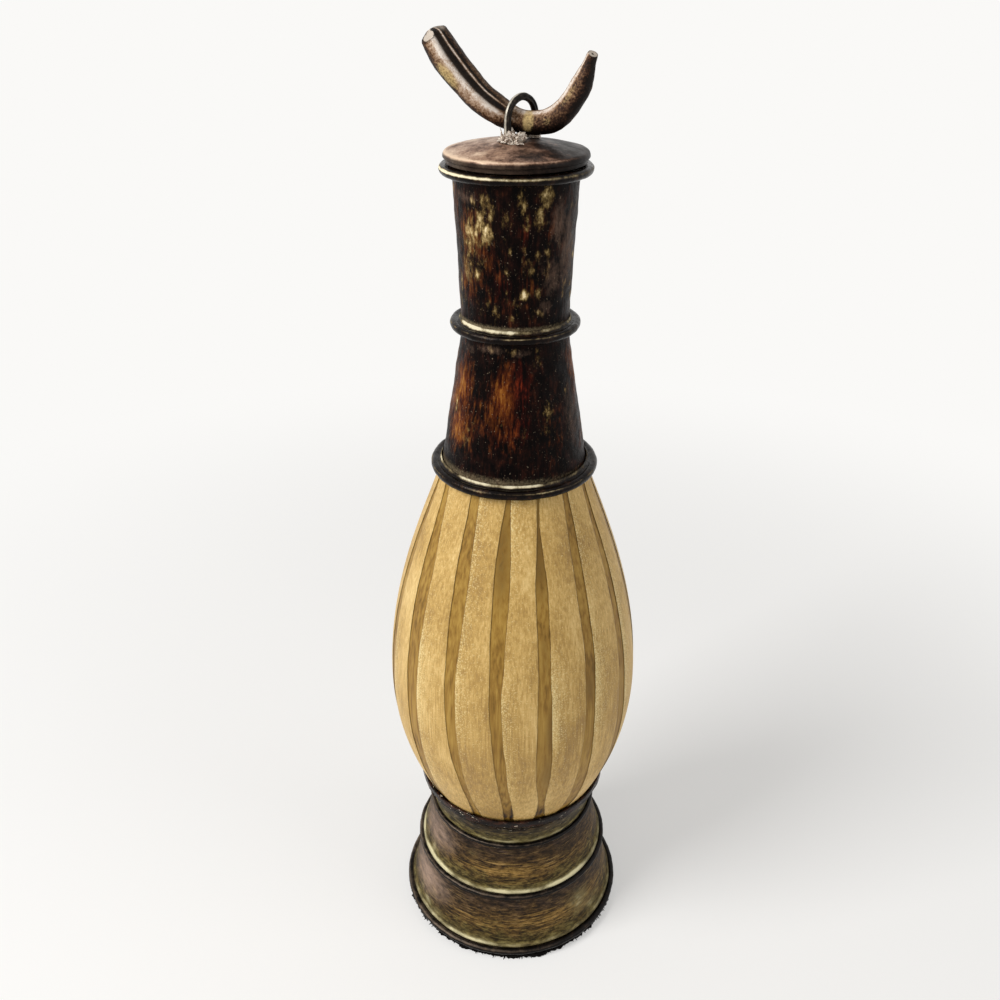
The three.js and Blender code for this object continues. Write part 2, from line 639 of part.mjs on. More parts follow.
// Horn: a tapering bent rod with a groove along the inner side of its thick arm
const hornAxisZ = lidTopZ + HORN_AXIS_HEIGHT;
function onButtArm(outShare, upShare, radius) {
  return { along: -outShare * HORN_BUTT_REACH, height: upShare * HORN_BUTT_HEIGHT, radius };
}
function onTipArm(outShare, upShare, radius) {
  return { along: outShare * HORN_TIP_REACH, height: upShare * HORN_TIP_HEIGHT, radius };
}
const hornStations = [
  onButtArm(1, 1, HORN_BUTT_RADIUS),
  onButtArm(HORN_THICK_OUT_SHARE, HORN_THICK_UP_SHARE, HORN_THICK_RADIUS),
  onButtArm(HORN_ARM_OUT_SHARE, HORN_ARM_UP_SHARE, HORN_ARM_RADIUS),
  { along: 0, height: HORN_AXIS_HEIGHT - HORN_SAG, radius: HORN_WAIST_RADIUS },
  onTipArm(HORN_BEND_OUT_SHARE, HORN_BEND_UP_SHARE, HORN_BEND_RADIUS),
  onTipArm(HORN_TAPER_OUT_SHARE, HORN_TAPER_UP_SHARE, HORN_TAPER_RADIUS),
  onTipArm(1, 1, HORN_TIP_RADIUS),
];
const hornLine = new THREE.CatmullRomCurve3(
  hornStations.map((station) => new THREE.Vector3(station.along, 0, station.height)),
);
function hornRadius(share) {
  const place = share * (hornStations.length - 1);
  const index = Math.min(Math.floor(place), hornStations.length - 2);
  const from = hornStations[index].radius;
  const to = hornStations[index + 1].radius;
  return THREE.MathUtils.lerp(from, to, THREE.MathUtils.smoothstep(place - index, 0, 1));
}
function grooveFactor(degrees, share) {
  const off = (degrees - HORN_GROOVE_DEG) / HORN_GROOVE_WIDTH_DEG;
  const fade = THREE.MathUtils.clamp((HORN_GROOVE_END - share) / HORN_GROOVE_FADE, 0, 1);
  return 1 - HORN_GROOVE_SHARE * fade * Math.exp(-off * off);
}
function hornRing(share) {
  const centre = hornLine.getPoint(share);
  const along = hornLine.getTangent(share);
  const inward = new THREE.Vector3(-along.z, 0, along.x);
  const points = [];
  for (let facet = 0; facet < HORN_FACETS; facet += 1) {
    const degrees = HORN_GROOVE_DEG + 180 - (360 * facet) / HORN_FACETS;
    const angle = THREE.MathUtils.degToRad(degrees);
    const radius = hornRadius(share) * grooveFactor(degrees, share);
    const point = centre.clone().addScaledVector(inward, radius * Math.sin(angle));
    point.y -= radius * Math.cos(angle);
    points.push(point);
  }
  return points;
}
const hornRings = [];
for (let step = 0; step <= HORN_STEPS; step += 1) hornRings.push(hornRing(step / HORN_STEPS));
const hornGroup = new THREE.Group();
hornGroup.position.set(LOOP_CENTRE_X, 0, lidTopZ);
hornGroup.rotation.z = hornYaw;
addPiece('horn', lofted(hornRings), HORN_BRONZE, hornGroup);
decanter.add(hornGroup);

// Lump of solder round a foot of the loop, cut clear of the lid, the wire and the rolling horn
const hornSweep = HORN_WAIST_RADIUS + HORN_ROLL_CLEARANCE;
const hornSpace = toSolid(
  new THREE.CylinderGeometry(hornSweep, hornSweep, 6 * SOLDER_RADIUS, ROUND_FACETS)
    .rotateZ(Math.PI / 2)
    .rotateZ(hornYaw)
    .translate(LOOP_CENTRE_X, 0, hornAxisZ),
);
const underLump = toSolid(turned([[0, lidZ], [shoulderRadius, lidZ], ...domePoints(GAP)]));
function solderLump(side) {
  const ball = new THREE.SphereGeometry(1, SOLDER_FACETS, SOLDER_FACETS / 2).rotateX(Math.PI / 2);
  const position = ball.attributes.position;
  const foot = loopPoint(side * loopRadius, domeHeight(loopRadius));
  for (let k = 0; k < position.count; k += 1) {
    const point = new THREE.Vector3().fromBufferAttribute(position, k);
    const wave = Math.sin(SOLDER_LUMP_COUNT * Math.atan2(point.y, point.x) + 2 * point.z);
    const size = 1 + SOLDER_LUMP_SHARE * wave * Math.hypot(point.x, point.y);
    point.multiply(new THREE.Vector3(SOLDER_RADIUS, SOLDER_RADIUS, SOLDER_HEIGHT));
    point.multiplyScalar(size).add(foot);
    position.setXYZ(k, point.x, point.y, point.z);
  }
  return toGeometry(toSolid(ball).subtract(underLump).subtract(legHoles).subtract(hornSpace));
}
addPiece('front_solder', solderLump(-1), SOLDER);
addPiece('rear_solder', solderLump(1), SOLDER);

export default decanter;
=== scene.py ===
import math
import random

import bpy
import numpy as np
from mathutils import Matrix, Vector, noise


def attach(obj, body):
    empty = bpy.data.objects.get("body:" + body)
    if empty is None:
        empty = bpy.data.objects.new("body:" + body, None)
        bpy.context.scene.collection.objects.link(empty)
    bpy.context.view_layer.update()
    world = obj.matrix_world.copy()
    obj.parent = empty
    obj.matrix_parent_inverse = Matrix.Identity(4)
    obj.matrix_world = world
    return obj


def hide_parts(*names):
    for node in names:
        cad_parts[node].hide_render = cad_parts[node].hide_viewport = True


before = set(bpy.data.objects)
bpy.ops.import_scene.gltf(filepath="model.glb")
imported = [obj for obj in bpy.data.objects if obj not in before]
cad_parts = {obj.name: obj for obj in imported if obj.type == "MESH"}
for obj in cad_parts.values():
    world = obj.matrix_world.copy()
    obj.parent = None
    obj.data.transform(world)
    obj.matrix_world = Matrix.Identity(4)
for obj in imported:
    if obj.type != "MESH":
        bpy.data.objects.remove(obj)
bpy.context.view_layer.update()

# Camera: held close and a little above the mouth ring, looking down on the front of the decanter.
# The view is wide, so the base looks smaller than the neck for its size.
CAMERA_PLACE = (-0.0066, -0.420, 0.4848)
CAMERA_DOWN_DEG = 28.77
CAMERA_LENS_MM = 36
SENSOR_WIDTH_MM = 36
bpy.ops.object.camera_add(
    location=CAMERA_PLACE, rotation=(math.radians(90 - CAMERA_DOWN_DEG), 0, 0))
camera = bpy.context.object
camera.data.sensor_width = SENSOR_WIDTH_MM
camera.data.lens = CAMERA_LENS_MM
bpy.context.scene.camera = camera

# Table and light: a pale matt table top, a soft lamp high on the left, a weaker one on the right,
# and an even pale room. They give a bright left side and a soft shadow to the right.
bpy.context.scene.view_settings.view_transform = "Standard"
MM = 0.001


def linear(code):
    """Linear colour of an sRGB hex value."""
    shares = [int(code[k:k + 2], 16) / 255 for k in (1, 3, 5)]
    return (*[s / 12.92 if s <= 0.04045 else ((s + 0.055) / 1.055) ** 2.4 for s in shares], 1)


def feed(tree, node, inputs):
    """Links or sets inputs of a node."""
    for key, value in inputs.items():
        if isinstance(value, bpy.types.Node):
            value = next(out for out in value.outputs if out.enabled)
        if isinstance(value, bpy.types.NodeSocket):
            tree.links.new(value, node.inputs[key])
        else:
            node.inputs[key].default_value = value


def add(tree, kind, inputs=None, ramp=None, **settings):
    """Adds a node with its settings, its inputs and the stops of its colour ramp."""
    made = tree.nodes.new("ShaderNode" + kind)
    for key, value in settings.items():
        setattr(made, key, value)
    feed(tree, made, inputs or {})
    if ramp:
        stops = made.color_ramp.elements
        while len(stops) < len(ramp):
            stops.new(0.5)
        for stop, (position, code) in zip(stops, ramp):
            stop.position = position
            stop.color = linear(code)
    return made


def start_material(name):
    """A new material, its tree, its surface shader and the place of a point in mm."""
    material = bpy.data.materials.new(name)
    material.use_nodes = True
    tree = material.node_tree
    coordinates = add(tree, "TexCoord")
    place = add(tree, "VectorMath", {0: coordinates.outputs["Object"], "Scale": 1 / MM}, operation="SCALE")
    return material, tree, tree.nodes["Principled BSDF"], place


def meets_room(tree):
    """One for rays from the camera and for glossy and transmitted ones, which all see the pale room."""
    ray = add(tree, "LightPath")
    seen = add(tree, "Math", {
        0: ray.outputs["Is Camera Ray"], 1: ray.outputs["Is Glossy Ray"]}, operation="ADD")
    return add(tree, "Math", {
        0: seen, 1: ray.outputs["Is Transmission Ray"]}, operation="ADD", use_clamp=True)


# Pale matt paint: near the decanter it takes light and shadow,
# and further off the view of it fades to an even pale tone
TABLE_TONE = "#FAF9F7"
TABLE_SIZE = 60
FADE_FROM_MM = 250
FADE_TO_MM = 800
EVEN_SHARE_NEAR = 0.4
table_paint, tree, surface, place = start_material("pale_matt_table_paint")
feed(tree, surface, {"Base Color": linear(TABLE_TONE), "Roughness": 0.8, "Specular IOR Level": 0.1})
far_off = add(tree, "VectorMath", {0: place}, operation="LENGTH")
far_share = add(tree, "MapRange", {
    "Value": far_off.outputs["Value"], "From Min": FADE_FROM_MM, "From Max": FADE_TO_MM,
    "To Min": EVEN_SHARE_NEAR}, interpolation_type="SMOOTHSTEP")
even_share = add(tree, "Math", {0: meets_room(tree), 1: far_share}, operation="MULTIPLY", use_clamp=True)
even_tone = add(tree, "Emission", {"Color": linear(TABLE_TONE), "Strength": 1})
table_mix = add(tree, "MixShader", {0: even_share, 1: surface.outputs[0], 2: even_tone})
feed(tree, tree.nodes["Material Output"], {"Surface": table_mix})
bpy.ops.object.select_all(action="DESELECT")
bpy.ops.mesh.primitive_plane_add(size=TABLE_SIZE)
table = bpy.context.object
table.name = "table_top"
table.data.materials.append(table_paint)
ROOM_LIGHT = 0.33
ROOM_SEEN = 1
world = bpy.data.worlds.new("even_pale_room")
world.use_nodes = True
tree = world.node_tree
room_level = add(tree, "MapRange", {"Value": meets_room(tree), "To Min": ROOM_LIGHT, "To Max": ROOM_SEEN})
feed(tree, tree.nodes["Background"], {"Color": linear(TABLE_TONE), "Strength": room_level})
bpy.context.scene.world = world
LAMP_AIM = Vector((0, 0, 0.24))
# Place and width in metres, and watts
LAMPS = {
    "left_lamp": ((-1.23, -0.64, 1.4), 0.85, 29.5),
    "right_lamp": ((1.2, -0.5, 0.8), 0.9, 4),
}
for lamp_name, (lamp_place, lamp_size, watts) in LAMPS.items():
    aim = LAMP_AIM - Vector(lamp_place)
    bpy.ops.object.light_add(
        type="AREA", location=lamp_place, rotation=aim.to_track_quat("-Z", "Y").to_euler())
    lamp = bpy.context.object
    lamp.name = lamp_name
    lamp.data.size = lamp_size
    lamp.data.energy = watts

# Felt disc: black pressed wool glued under the base so that it does not scratch the table.
# It was cut with scissors, and its rim has frayed into tufts that stick out under the lowest wire.
FELT_RADIUS = 59
FELT_THICKNESS = 2.6
FELT_BAND = 4
FELT_ROUNDING = 0.6
FELT_FRAY = 2.6
FRAY_FINE = 1.6
FRAY_COARSE = 6
TUFT_COUNT = 260
TUFT_LENGTH = 3.4
TUFT_FOOT = 0.8
TUFT_END = 0.08
TUFT_CURL = 0.5
SMOOTH_DEG = 40


def turn(name, outline, facets=180):
    """Turns a closed outline of (radius, height) in mm round the middle axis."""
    bpy.ops.object.select_all(action="DESELECT")
    bpy.ops.mesh.primitive_circle_add(vertices=len(outline), radius=0.01)
    piece = bpy.context.object
    piece.name = name
    for point, (radius, height) in zip(piece.data.vertices, outline):
        point.co = (radius * MM, 0, height * MM)
    bpy.ops.object.mode_set(mode="EDIT")
    bpy.ops.mesh.select_all(action="SELECT")
    bpy.ops.mesh.spin(steps=facets, angle=math.tau, center=(0, 0, 0), axis=(0, 0, 1))
    bpy.ops.mesh.select_all(action="SELECT")
    bpy.ops.mesh.remove_doubles(threshold=1e-6)
    bpy.ops.mesh.dissolve_degenerate(threshold=1e-7)
    bpy.ops.mesh.select_all(action="SELECT")
    bpy.ops.mesh.normals_make_consistent(inside=False)
    bpy.ops.object.mode_set(mode="OBJECT")
    bpy.ops.object.shade_smooth_by_angle(angle=math.radians(SMOOTH_DEG))
    return piece


def points_of(piece):
    """Places of a piece's points in mm, one row each."""
    places = np.empty(len(piece.data.vertices) * 3, np.float32)
    piece.data.vertices.foreach_get("co", places)
    return places.reshape(-1, 3).astype(float) / MM


def uneven(piece, depth, size, share=None):
    """Moves points along their normals by up to a depth in mm, as hand work leaves a surface."""
    shares = np.ones(len(piece.data.vertices)) if share is None else share(points_of(piece))
    normals = [point.normal.copy() for point in piece.data.vertices]
    for point, normal, part in zip(piece.data.vertices, normals, shares):
        if part > 0:
            point.co += normal * (part * depth * MM * noise.noise(point.co / (size * MM)))
    piece.data.update()


def mark(piece, layer, values):
    """Keeps a value for each point of a piece, which its finish reads."""
    kept = np.asarray(values, np.float32)
    piece.data.attributes.new(layer, "FLOAT", "POINT").data.foreach_set("value", kept)


def paint(piece, layer, rule):
    """Marks each point of a piece with a value worked out from its place in mm."""
    mark(piece, layer, rule(points_of(piece)))


def join(piece, parts):
    """Makes loose parts one mesh with a piece."""
    bpy.ops.object.select_all(action="DESELECT")
    for part in (piece, *parts):
        part.select_set(True)
    bpy.context.view_layer.objects.active = piece
    bpy.ops.object.join()


def fit(piece, material, slot, body, *nodes):
    """Gives a piece its finish, and puts it on a body in place of its plain solids."""
    piece.data.materials.clear()
    piece.data.materials.append(material)
    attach(piece, body)
    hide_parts(*nodes)


# Pressed wool felt: black, dull all over, with paler fibres about 0.5 mm apart
felt, tree, surface, place = start_material("black_wool_felt")
fibres = add(tree, "TexNoise", {"Vector": place, "Scale": 2, "Detail": 5, "Roughness": 0.7})
fibre_colour = add(tree, "ValToRGB", {0: fibres}, ramp=[
    (0.4, "#060505"), (0.62, "#171413"), (0.8, "#33302C")])
fibre_bump = add(tree, "Bump", {"Height": fibres, "Strength": 0.8, "Distance": 0.0005})
feed(tree, surface, {
    "Base Color": fibre_colour, "Normal": fibre_bump, "Roughness": 1, "Specular IOR Level": 0.1})

felt_disc = turn("felt_disc", [
    (0, 0), (FELT_RADIUS - FELT_BAND, 0), (FELT_RADIUS - FELT_ROUNDING, 0),
    (FELT_RADIUS, 0.7), (FELT_RADIUS, 1.8), (FELT_RADIUS - FELT_ROUNDING, FELT_THICKNESS),
    (FELT_RADIUS - FELT_BAND, FELT_THICKNESS), (0, FELT_THICKNESS)], facets=420)
for point in felt_disc.data.vertices:
    radius = math.hypot(point.co.x, point.co.y) / MM
    if radius > FELT_RADIUS - 1:
        fine, coarse = (noise.noise(point.co / (size * MM)) for size in (FRAY_FINE, FRAY_COARSE))
        ragged = fine + 0.8 * coarse + 0.6
        scale = 1 + FELT_FRAY * ragged / 1.8 / radius
        point.co.x *= scale
        point.co.y *= scale
fray = random.Random(11)
tufts = []
bpy.ops.object.select_all(action="DESELECT")
bpy.ops.mesh.primitive_cone_add(
    vertices=5, radius1=TUFT_FOOT * MM, radius2=TUFT_END * MM, depth=TUFT_LENGTH * MM)
tuft = bpy.context.object
bpy.ops.object.mode_set(mode="EDIT")
bpy.ops.mesh.select_all(action="SELECT")
bpy.ops.mesh.subdivide(number_cuts=2)
bpy.ops.object.mode_set(mode="OBJECT")
for point in tuft.data.vertices:
    along = point.co.z / MM / TUFT_LENGTH + 0.5
    point.co.x += TUFT_CURL * MM * along * along
for index in range(TUFT_COUNT):
    copy = tuft if index == 0 else tuft.copy()
    if index:
        copy.data = tuft.data.copy()
        bpy.context.collection.objects.link(copy)
    tufts.append(copy)
for copy in tufts:
    angle = fray.uniform(0, math.tau)
    reach = (FELT_RADIUS - FELT_ROUNDING + fray.uniform(0, FELT_ROUNDING)) * MM
    lift = fray.uniform(0.5, 1.9) * MM
    size = fray.uniform(0.5, 1.3)
    copy.rotation_euler = (
        fray.uniform(-0.35, 0.35), math.radians(90) + fray.uniform(-0.15, 0.3),
        angle + fray.uniform(-0.6, 0.6))
    copy.scale = (size, size, size)
    copy.location = (reach * math.cos(angle), reach * math.sin(angle), lift)
join(felt_disc, tufts)
for point in felt_disc.data.vertices:
    point.co.z = max(point.co.z, 0)
fit(felt_disc, felt, "felt", "vessel", "felt_pad")

# Lower step of the base: turned wood, painted dark and dry-brushed round with ochre bronze.
# Dust and patina have settled pale in the hollow above its wire.
GAP = 0.3
HOOP_LIFT = 0.4
COVE_LEDGE = 0.8
COVE_HEIGHT = 5
COVE_DEPTH = 1.9
TENON_RADIUS = 22
TENON_HEIGHT = 5
TOP_ROUNDING = 1
BOLT_BORE = 3.3
RECESS_RADIUS = 8.5
RECESS_DEPTH = 5.4
LOWER_FOOT_Z = FELT_THICKNESS + GAP
LOWER_FOOT_RADIUS = 57.3
LOWER_TOP_Z = LOWER_FOOT_Z + 34
LOWER_TOP_RADIUS = 50.2
LOWER_WIRE = 1.7


def cove(start, pull, end, steps=12):
    """Points of a hollow curve between two points of an outline, pulled towards a third."""
    shares = [step / steps for step in range(steps + 1)]
    return [tuple((1 - s) ** 2 * a + 2 * s * (1 - s) * b + s * s * c for a, b, c in zip(start, pull, end))
            for s in shares]


def arc(radius, height, size, from_deg, to_deg, steps=16):
    """Points of a round part of an outline about a centre."""
    angles = [math.radians(from_deg + (to_deg - from_deg) * step / steps) for step in range(steps + 1)]
    return [(radius + size * math.cos(a), height + size * math.sin(a)) for a in angles]


def straight(start, end, steps):
    """Points of a straight part of an outline, without its last one."""
    return [tuple(a + (b - a) * step / steps for a, b in zip(start, end)) for step in range(steps)]


def step_foot(foot_z, foot_radius, wire):
    """Seat for the wire, a ledge over it and the hollow that runs up into the skirt."""
    ledge_z = foot_z + HOOP_LIFT + 2 * wire + GAP
    skirt = foot_radius + COVE_LEDGE - COVE_DEPTH
    curve = cove((foot_radius + COVE_LEDGE, ledge_z), (skirt, ledge_z + COVE_HEIGHT / 3),
                 (skirt, ledge_z + COVE_HEIGHT))
    return [(foot_radius, foot_z), (foot_radius, ledge_z - GAP), *curve[:-1]], curve[-1]


def step_side(skirt, top_radius, top_z, rows):
    """Side of a step from the skirt up, its rounded top edge, and the tenon in the middle of its top."""
    tenon_top_z = top_z + TENON_HEIGHT
    return [
        *straight(skirt, (top_radius + 0.35, top_z - TOP_ROUNDING), rows),
        *cove((top_radius + 0.2, top_z - TOP_ROUNDING), (top_radius, top_z), (top_radius - 0.8, top_z), 4),
        (TENON_RADIUS, top_z), (TENON_RADIUS, tenon_top_z), (BOLT_BORE, tenon_top_z)]


def near(values, middle, spread):
    """Soft share of how close values lie to a middle."""
    return np.exp(-((values - middle) / spread) ** 2)


def around(points):
    """Angle of each point about the middle axis, from the front towards the right."""
    return np.arctan2(points[:, 0], -points[:, 1])


def from_axis(points):
    """Distance of each point from the middle axis."""
    return np.hypot(points[:, 0], points[:, 1])


def patchy(points, seed):
    """Share that waxes and wanes round the axis, as dust does on old paint."""
    angle = around(points) + seed
    return 0.8 + 0.2 * np.sin(3 * angle + 1) + 0.14 * np.sin(8 * angle) + 0.1 * np.sin(19 * angle + 2)


def spot_cover(points, spots):
    """Share of soft spots: each has degrees from the front, height, half width, half height, strength."""
    degrees = np.degrees(around(points))
    radius = from_axis(points)
    cover = np.zeros(len(points))
    for spot_deg, height, half_width, half_height, strength in spots:
        across = np.radians((degrees - spot_deg + 180) % 360 - 180) * radius / half_width
        up = (points[:, 2] - height) / half_height
        cover = np.maximum(cover, strength * np.exp(-across ** 2 - up ** 2))
    return cover


# Bronze paint brushed over turned wood: violet umber at the top of a step, ochre strokes about 20 mm
# long and 1 mm tall round its middle, olive below, and cream patina that fades up from the hollow
bronze, tree, surface, place = start_material("brushed_bronze_paint_on_wood")
stroke_place = add(tree, "Mapping", {"Vector": place, "Scale": (0.05, 0.05, 1.0)})
strokes = add(tree, "TexNoise", {"Vector": stroke_place, "Scale": 1, "Detail": 5, "Roughness": 0.62})
hair_place = add(tree, "Mapping", {"Vector": place, "Scale": (0.06, 0.06, 3.6)})
hairs = add(tree, "TexNoise", {"Vector": hair_place, "Scale": 1, "Detail": 3})
blots = add(tree, "TexNoise", {"Vector": place, "Scale": 0.11, "Detail": 6, "Roughness": 0.7})
mottle_place = add(tree, "Mapping", {"Vector": place, "Scale": (0.16, 0.16, 0.42)})
mottles = add(tree, "TexNoise", {"Vector": mottle_place, "Scale": 1, "Detail": 6, "Roughness": 0.7})
grit_place = add(tree, "Mapping", {"Vector": place, "Scale": (0.3, 0.3, 1.1)})
grit = add(tree, "TexNoise", {"Vector": grit_place, "Scale": 1, "Detail": 4, "Roughness": 0.7})
level = add(tree, "Attribute", attribute_name="level").outputs["Fac"]
level_cloud = add(tree, "Math", {0: blots, 1: 0.7, 2: level}, operation="MULTIPLY_ADD")
ground = add(tree, "ValToRGB", {0: level_cloud}, ramp=[
    (0.32, "#9A8E58"), (0.45, "#887644"), (0.58, "#806438"), (0.73, "#6E5638"), (0.88, "#564438")])
wear = add(tree, "ValToRGB", {0: mottles}, ramp=[
    (0.36, "#56524B"), (0.46, "#A09A90"), (0.54, "#D8D4CC"), (0.62, "#FFFFFF")])
toned = add(tree, "Mix", {0: 1, 6: ground, 7: wear}, data_type="RGBA", blend_type="MULTIPLY")
grain_wear = add(tree, "ValToRGB", {0: grit}, ramp=[
    (0.34, "#6E6A62"), (0.46, "#BAB6AE"), (0.58, "#F4F2EE"), (0.68, "#FFFFFF")])
speckled = add(tree, "Mix", {0: 1, 6: toned, 7: grain_wear}, data_type="RGBA", blend_type="MULTIPLY")
dark_strokes = add(tree, "MapRange", {"Value": hairs, "From Min": 0.52, "From Max": 0.7, "To Max": 0.7})
brushed = add(tree, "Mix", {0: dark_strokes, 6: speckled, 7: linear("#20160D")}, data_type="RGBA")
press = add(tree, "Attribute", attribute_name="pressed").outputs["Fac"]
stroke_cut = add(tree, "Math", {0: press, 1: 0.3, 2: strokes}, operation="MULTIPLY_ADD")
stroke_cover = add(tree, "MapRange", {"Value": stroke_cut, "From Min": 0.7, "From Max": 0.92, "To Max": 0.85})
ochre = add(tree, "ValToRGB", {0: grit}, ramp=[(0.35, "#705428"), (0.55, "#9A783E"), (0.72, "#C8A462")])
stroked = add(tree, "Mix", {0: stroke_cover, 6: brushed, 7: ochre}, data_type="RGBA")
scratch_cut = add(tree, "Math", {0: press, 1: 0.06, 2: hairs}, operation="MULTIPLY_ADD")
scratches = add(tree, "MapRange", {"Value": scratch_cut, "From Min": 0.65, "From Max": 0.73, "To Max": 0.6})
scratched = add(tree, "Mix", {0: scratches, 6: stroked, 7: linear("#C6A266")}, data_type="RGBA")
grime = add(tree, "MapRange", {"Value": grit, "From Min": 0.47, "From Max": 0.35, "To Max": 0.7})
grimed = add(tree, "Mix", {0: grime, 6: scratched, 7: linear("#1A120A")}, data_type="RGBA")
dust = add(tree, "Attribute", attribute_name="patina").outputs["Fac"]
dust_cut = add(tree, "Math", {0: mottles, 1: 0.75, 2: dust}, operation="MULTIPLY_ADD")
dust_cover = add(tree, "MapRange", {"Value": dust_cut, "From Min": 0.46, "From Max": 1.22})
dust_colour = add(tree, "ValToRGB", {0: dust_cover}, ramp=[
    (0.15, "#5C5030"), (0.45, "#8C8056"), (0.9, "#DDD3A8")])
dusted = add(tree, "Mix", {0: dust_cover, 6: grimed, 7: dust_colour}, data_type="RGBA")
# Painted highlight: a pink blush on the left side of each step, where the lamp falls.
lit_side_blush = add(tree, "Attribute", attribute_name="lit_side_blush").outputs["Fac"]
lit_side_blush_cut = add(tree, "Math", {0: lit_side_blush, 1: mottles}, operation="MULTIPLY")
lit_side_blush_cover = add(tree, "MapRange", {"Value": lit_side_blush_cut, "From Min": 0.08, "From Max": 0.6})
lit_side_blushed = add(tree, "Mix", {0: lit_side_blush_cover, 6: dusted, 7: linear("#AC9280")}, data_type="RGBA")
# This attribute carries dark varnish on the collar's lip, and near-black painted shade between parts and
# under the body.
varnish_and_shade = add(tree, "Attribute", attribute_name="varnish_and_shade").outputs["Fac"]
varnish_and_shade_tone = add(tree, "ValToRGB", {0: mottles}, ramp=[(0.4, "#080403"), (0.5, "#170B07"), (0.62, "#3A2014")])
varnished_and_shaded = add(tree, "Mix", {0: varnish_and_shade, 6: lit_side_blushed, 7: varnish_and_shade_tone}, data_type="RGBA")
# Painted highlights: small white glints in the varnish and in the painted shade.
painted_glints = add(tree, "MapRange", {"Value": grit, "From Min": 0.63, "From Max": 0.69})
painted_glint_cover = add(tree, "Math", {0: painted_glints, 1: varnish_and_shade}, operation="MULTIPLY")
with_painted_glints = add(tree, "Mix", {0: painted_glint_cover, 6: varnished_and_shaded, 7: linear("#D8CDB8")}, data_type="RGBA")
sheen = add(tree, "MapRange", {"Value": varnish_and_shade, "To Min": 0.52, "To Max": 0.26})
relief = add(tree, "Math", {0: strokes, 1: 0.5, 2: hairs}, operation="MULTIPLY_ADD")
paint_bump = add(tree, "Bump", {"Height": relief, "Strength": 0.45, "Distance": 0.0003})
feed(tree, surface, {
    "Base Color": with_painted_glints, "Roughness": sheen, "Normal": paint_bump, "Metallic": 0.15,
    "Specular IOR Level": 0.14})


def step_paint(piece, foot_z, top_z, wire, line, press, lit_side_blush, dabs):
    """Where paint was pressed, where olive and patina lie, and where light and shade are painted on a step.

    line is the strength of the pale line in the hollow, and press the angle and spread of the
    heaviest brush strokes round the step. dabs are spots of patina. blush is the strength of the pink
    painted highlight on the lit left side.
    """
    hollow_z = foot_z + HOOP_LIFT + 2 * wire + GAP
    height = top_z - hollow_z
    press_at, press_spread = press
    paint(piece, "level", lambda p: 0.55 * np.clip((p[:, 2] - hollow_z) / height, 0, 1))
    paint(piece, "pressed", lambda p: near(p[:, 2], hollow_z + 0.45 * height, 0.26 * height)
          * (0.45 + 0.65 * near(around(p), press_at, press_spread)))
    paint(piece, "patina", lambda p: (
        line * near(p[:, 2], hollow_z + 0.5, 0.6 + line) + 0.3 * near(p[:, 2], hollow_z + 1.5, 4))
        * (0.66 + 0.34 * np.cos(around(p) + 0.25)) * patchy(p, foot_z) + spot_cover(p, dabs))
    # Pink painted highlight on the lit left side, at mid height.
    paint(piece, "lit_side_blush", lambda p: lit_side_blush * near(np.degrees(around(p)), -64, 22)
          * near(p[:, 2], hollow_z + 0.6 * height, 0.36 * height))
    # Near-black painted shade at the top edge, under the step above, and just above the wire.
    paint(piece, "varnish_and_shade", lambda p: 0.6 * near(p[:, 2], top_z, 1.8) + 0.7 * near(p[:, 2], hollow_z - 0.4, 0.7))


lower_foot, lower_skirt = step_foot(LOWER_FOOT_Z, LOWER_FOOT_RADIUS, LOWER_WIRE)
lower_step = turn("lower_step", [
    (BOLT_BORE, LOWER_FOOT_Z + RECESS_DEPTH), (RECESS_RADIUS, LOWER_FOOT_Z + RECESS_DEPTH),
    (RECESS_RADIUS, LOWER_FOOT_Z), *lower_foot,
    *step_side(lower_skirt, LOWER_TOP_RADIUS, LOWER_TOP_Z, rows=30)])
uneven(lower_step, depth=0.22, size=9, share=lambda p: from_axis(p) > LOWER_TOP_RADIUS + 0.1)
step_paint(
    lower_step, LOWER_FOOT_Z, LOWER_TOP_Z, LOWER_WIRE, line=0.42, press=(0.58, 0.85), lit_side_blush=0.84,
    dabs=[(-66, 15, 3, 4, 0.45), (-58, 12, 4, 3, 0.5), (-48, 11, 5, 3, 0.3),
          (44, 22, 10, 8, 0.51), (52, 15, 9, 6, 0.41), (160, 16, 9, 6, 0.3)])
fit(lower_step, bronze, "bronzed_wood", "vessel", "lower_tier")

# Wires round the feet of the steps: iron wire bent to a hoop, blackened and waxed.
# The wax has rubbed brown here and there, and the bends are not quite even.

# Blackened iron under wax: near black with a dull gloss, brown rubs some 5 mm across and fine pits,
# with a grey-brown painted highlight along the top of the wire
blackened, tree, surface, place = start_material("blackened_iron_wire")
rub = add(tree, "TexNoise", {"Vector": place, "Scale": 0.22, "Detail": 6, "Roughness": 0.7})
wire_colour = add(tree, "ValToRGB", {0: rub}, ramp=[
    (0.42, "#060403"), (0.56, "#0F0A07"), (0.68, "#271B13"), (0.82, "#544130")])
wire_sheen = add(tree, "MapRange", {
    "Value": rub, "From Min": 0.3, "From Max": 0.7, "To Min": 0.28, "To Max": 0.55})
pits = add(tree, "TexNoise", {"Vector": place, "Scale": 0.8, "Detail": 4})
wire_bump = add(tree, "Bump", {"Height": pits, "Strength": 0.5, "Distance": 0.0004})
